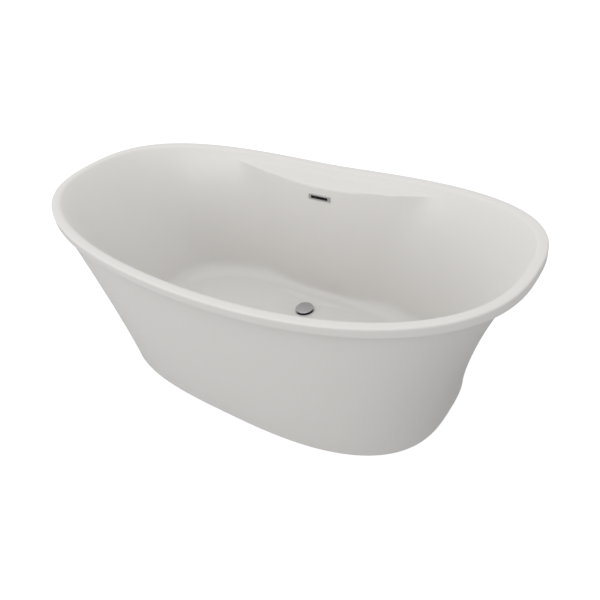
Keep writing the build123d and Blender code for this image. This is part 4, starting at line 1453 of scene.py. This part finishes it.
@dataclass
class LevellingStud:
    """A threaded stud whose helix is swept by Geometry Nodes, with its hexagon for a spanner."""

    pitch: float = 1.75 * MM
    hexagon_height: float = 4.0 * MM
    hexagon_above_pad: float = 0.2 * MM

    def tree(self) -> bpy.types.GeometryNodeTree:
        """Build the tree that winds a thread round a core.

        Returns:
            The tree.
        """
        tree = bpy.data.node_groups.new("threaded_stud", "GeometryNodeTree")
        face = tree.interface
        face.new_socket("Geometry", in_out="OUTPUT", socket_type="NodeSocketGeometry")
        for name in ("Radius", "Thread Height", "Turns", "Foot", "Length", "Hexagon Radius", "Hexagon Height",
                     "Hexagon Foot", "X", "Y"):
            face.new_socket(name, in_out="INPUT", socket_type="NodeSocketFloat")
        face.new_socket("Finish", in_out="INPUT", socket_type="NodeSocketMaterial")
        nodes, links = tree.nodes, tree.links
        into, out = nodes.new("NodeGroupInput"), nodes.new("NodeGroupOutput")

        def number(operation: str, first: bpy.types.NodeSocket,
                   second: bpy.types.NodeSocket | float) -> bpy.types.NodeSocket:
            """One step of arithmetic.

            Args:
                operation: The step.
                first: What it works on.
                second: What it works with.

            Returns:
                The socket with the result.
            """
            node = nodes.new("ShaderNodeMath")
            node.operation = operation
            links.new(first, node.inputs[0])
            if isinstance(second, float):
                node.inputs[1].default_value = second
            else:
                links.new(second, node.inputs[1])
            return node.outputs[0]

        thread_height = into.outputs["Thread Height"]
        core = number("SUBTRACT", into.outputs["Radius"], thread_height)
        shaft = nodes.new("GeometryNodeMeshCylinder")
        shaft.inputs["Vertices"].default_value = 32
        links.new(core, shaft.inputs["Radius"])
        links.new(into.outputs["Length"], shaft.inputs["Depth"])
        helix = nodes.new("GeometryNodeCurveSpiral")
        helix.inputs["Resolution"].default_value = 20
        links.new(into.outputs["Turns"], helix.inputs["Rotations"])
        links.new(core, helix.inputs["Start Radius"])
        links.new(core, helix.inputs["End Radius"])
        links.new(into.outputs["Length"], helix.inputs["Height"])
        ridge = nodes.new("GeometryNodeCurvePrimitiveCircle")
        ridge.inputs["Resolution"].default_value = 6
        links.new(number("MULTIPLY", thread_height, 0.98), ridge.inputs["Radius"])
        sweep = nodes.new("GeometryNodeCurveToMesh")
        sweep.inputs["Fill Caps"].default_value = True
        links.new(helix.outputs["Curve"], sweep.inputs["Curve"])
        links.new(ridge.outputs["Curve"], sweep.inputs["Profile Curve"])
        down = nodes.new("ShaderNodeCombineXYZ")
        links.new(number("MULTIPLY", into.outputs["Length"], -0.5), down.inputs["Z"])
        lower = nodes.new("GeometryNodeTransform")
        links.new(sweep.outputs[0], lower.inputs["Geometry"])
        links.new(down.outputs[0], lower.inputs["Translation"])
        hexagon = nodes.new("GeometryNodeMeshCylinder")
        hexagon.inputs["Vertices"].default_value = 6
        links.new(into.outputs["Hexagon Radius"], hexagon.inputs["Radius"])
        links.new(into.outputs["Hexagon Height"], hexagon.inputs["Depth"])
        lift = nodes.new("ShaderNodeCombineXYZ")
        lift_by = number("SUBTRACT", into.outputs["Hexagon Foot"], into.outputs["Foot"])
        lift_by = number("ADD", lift_by, number("MULTIPLY", into.outputs["Hexagon Height"], 0.5))
        lift_by = number("SUBTRACT", lift_by, number("MULTIPLY", into.outputs["Length"], 0.5))
        links.new(lift_by, lift.inputs["Z"])
        raised = nodes.new("GeometryNodeTransform")
        links.new(hexagon.outputs["Mesh"], raised.inputs["Geometry"])
        links.new(lift.outputs[0], raised.inputs["Translation"])
        join = nodes.new("GeometryNodeJoinGeometry")
        for source in (shaft.outputs["Mesh"], lower.outputs[0], raised.outputs[0]):
            links.new(source, join.inputs[0])
        stand = nodes.new("ShaderNodeCombineXYZ")
        links.new(into.outputs["X"], stand.inputs["X"])
        links.new(into.outputs["Y"], stand.inputs["Y"])
        links.new(number("ADD", into.outputs["Foot"], number("MULTIPLY", into.outputs["Length"], 0.5)),
                  stand.inputs["Z"])
        place = nodes.new("GeometryNodeTransform")
        links.new(join.outputs[0], place.inputs["Geometry"])
        links.new(stand.outputs[0], place.inputs["Translation"])
        real = nodes.new("GeometryNodeRealizeInstances")
        links.new(place.outputs[0], real.inputs[0])
        paint = nodes.new("GeometryNodeSetMaterial")
        links.new(real.outputs[0], paint.inputs["Geometry"])
        links.new(into.outputs["Finish"], paint.inputs["Material"])
        links.new(paint.outputs[0], out.inputs[0])
        return tree

    def build(self) -> list[bpy.types.Object]:
        """Build the four studs.

        Returns:
            The finished pieces.
        """
        tree = self.tree()
        made = []
        for number in range(1, 5):
            node = f"foot_stud_{number}"
            low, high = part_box(node)
            _, pad_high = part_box(f"foot_pad_{number}")
            upper = min(high.x - low.x, high.y - low.y)
            core = max(solid[:, 0].max() - solid[:, 0].min() for solid in [self.top_ring(node)]) / 2
            piece = grown(f"levelling_stud_{number}", tree, {
                "Radius": core, "Thread Height": 0.55 * MM, "Turns": (high.z - low.z) / self.pitch,
                "Foot": low.z, "Length": high.z - low.z, "Hexagon Radius": upper / 2,
                "Hexagon Height": self.hexagon_height,
                "Hexagon Foot": pad_high.z + self.hexagon_above_pad,
                "X": (low.x + high.x) / 2, "Y": (low.y + high.y) / 2, "Finish": Finishes.ZINC.material(),
            })
            piece.data.shade_smooth()
            piece.data.set_sharp_from_angle(angle=radians(30))
            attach(piece, node)
            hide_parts(node)
            made.append(piece)
        return made

    def top_ring(self, node: str) -> Grid:
        """The vertices at the top of a stud, where only the rod is."""
        corners = np.array([vertex.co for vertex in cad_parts[node].data.vertices])
        return corners[corners[:, 2] > corners[:, 2].max() - 1.0 * MM]


# ---- everything that keeps its CAD shape -------------------------------------------------------------
class CadFinishes:
    """Finishes for the nodes whose CAD shape is already right."""

    by_node: dict[str, Finishes] = {
        "base_board": Finishes.BOARD,
        "skirt_blocks": Finishes.BOARD,
        "rail_front": Finishes.FRAME_STEEL,
        "rail_back": Finishes.FRAME_STEEL,
        "crossbar_left": Finishes.FRAME_STEEL,
        "crossbar_right": Finishes.FRAME_STEEL,
        "mount_tabs": Finishes.FRAME_STEEL,
        "tie_plates": Finishes.FRAME_STEEL,
        "foot_nuts": Finishes.ZINC,
        "foot_pad_1": Finishes.PAD_PLASTIC,
        "foot_pad_2": Finishes.PAD_PLASTIC,
        "foot_pad_3": Finishes.PAD_PLASTIC,
        "foot_pad_4": Finishes.PAD_PLASTIC,
        "drain_flange": Finishes.CHROME,
        "drain_seal": Finishes.SEALANT,
        "drain_gasket": Finishes.RUBBER,
        "plug_stem": Finishes.BRASS,
        "plug_seal": Finishes.RUBBER,
        "drain_shoe": Finishes.WASTE_PLASTIC,
        "link_pipe": Finishes.WASTE_PLASTIC,
        "waste_elbow": Finishes.WASTE_PLASTIC,
        "overflow_pipe": Finishes.WASTE_PLASTIC,
        "slip_nuts": Finishes.WASTE_PLASTIC,
        "tailpiece": Finishes.BRASS,
        "overflow_bezel": Finishes.CHROME,
        "overflow_gasket": Finishes.RUBBER,
        "overflow_housing": Finishes.WASTE_PLASTIC,
        "overflow_nuts": Finishes.ZINC,
    }

    @classmethod
    def apply(cls) -> None:
        """Put each node's finish in its material slots."""
        for node, finish in cls.by_node.items():
            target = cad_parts[node].data
            if not target.materials:
                target.materials.append(finish.material())
            for slot in range(len(target.materials)):
                target.materials[slot] = finish.material()


# ---- studio ---------------------------------------------------------------------------------------
@dataclass
class Studio:
    """A pale floor, soft light from the left and above, and the camera."""

    lens: float = 35.845
    place: tuple[float, float, float] = (1.13697, -1.24504, 1.47194)
    back: tuple[float, float, float] = (0.513876, -0.614462, 0.598638)
    roll: float = -8.565
    floor_size: float = 60.0
    sky: float = 0.80

    def floor(self) -> None:
        """Lay the floor."""
        size = self.floor_size
        corners = np.array([(-size, -size, 0.0), (size, -size, 0.0), (size, size, 0.0), (-size, size, 0.0)])
        corners[:, 2] = -0.0005
        ground = mesh_object("studio_floor", corners, [(0, 1, 2, 3)])
        dress(ground, Finishes.FLOOR)

    def lamp(self, name: str, place: tuple[float, float, float], size: tuple[float, float],
             power: float) -> None:
        """Hang one soft light, aimed at the tub and hidden from the camera.

        Args:
            name: The light's name.
            place: Where it hangs.
            size: Its width and height in metres.
            power: Its power in watts.
        """
        data = bpy.data.lights.new(name, "AREA")
        data.shape = "RECTANGLE"
        data.size, data.size_y = size
        data.energy = power
        lamp = bpy.data.objects.new(name, data)
        lamp.visible_camera = False
        lamp.location = place
        middle = Vector((0.0, 0.0, cad_high.z / 2))
        lamp.rotation_euler = (middle - Vector(place)).to_track_quat("-Z", "Y").to_euler()
        bpy.context.scene.collection.objects.link(lamp)

    def build(self) -> None:
        """Build the studio."""
        self.floor()
        world = bpy.data.worlds.new("studio_light")
        bpy.context.scene.world = world
        world.use_nodes = True
        world.node_tree.nodes["Background"].inputs["Color"].default_value = (1.0, 1.0, 1.0, 1.0)
        world.node_tree.nodes["Background"].inputs["Strength"].default_value = self.sky
        self.lamp("top_light", (-0.9, -0.5, 4.4), (4.5, 4.5), 26.0)
        self.lamp("front_light", (-1.6, -4.0, 2.1), (4.5, 2.4), 40.0)
        scene = bpy.context.scene
        scene.view_settings.view_transform = "Standard"
        scene.camera = self.camera()

    def camera(self) -> bpy.types.Object:
        """Place the camera.

        Returns:
            The camera.
        """
        data = bpy.data.cameras.new("camera")
        data.lens = self.lens
        data.sensor_width = 36.0
        view = bpy.data.objects.new("camera", data)
        back = Vector(self.back).normalized()
        level = Vector((0, 0, 1)).cross(back).normalized()
        upright = back.cross(level)
        roll = radians(self.roll)
        right = level * cos(roll) + upright * sin(roll)
        upward = upright * cos(roll) - level * sin(roll)
        turn = Matrix((right, upward, back)).transposed().to_4x4()
        view.matrix_world = Matrix.Translation(self.place) @ turn
        bpy.context.scene.collection.objects.link(view)
        return view


def main() -> None:
    """Build every sub-assembly in order and report each piece."""
    logging.basicConfig(level=logging.INFO, format="%(name)s: %(message)s")
    rim = RimForm(half_length=min(cad_high.x, -cad_low.x), half_width=cad_high.y, end_height=cad_high.z)
    basin = Basin(rim)
    pieces = [basin.build(Vector(drain_centre)), basin.build_bond(), Skirt(rim).build()]
    pieces += Drain().build()
    pieces += Fasteners().build()
    pieces += LevellingStud().build()
    CadFinishes.apply()
    Studio().build()
    for piece in pieces:
        log.info("%s: %d faces", piece.name, len(piece.data.polygons))


if __name__ == "__main__":
    main()
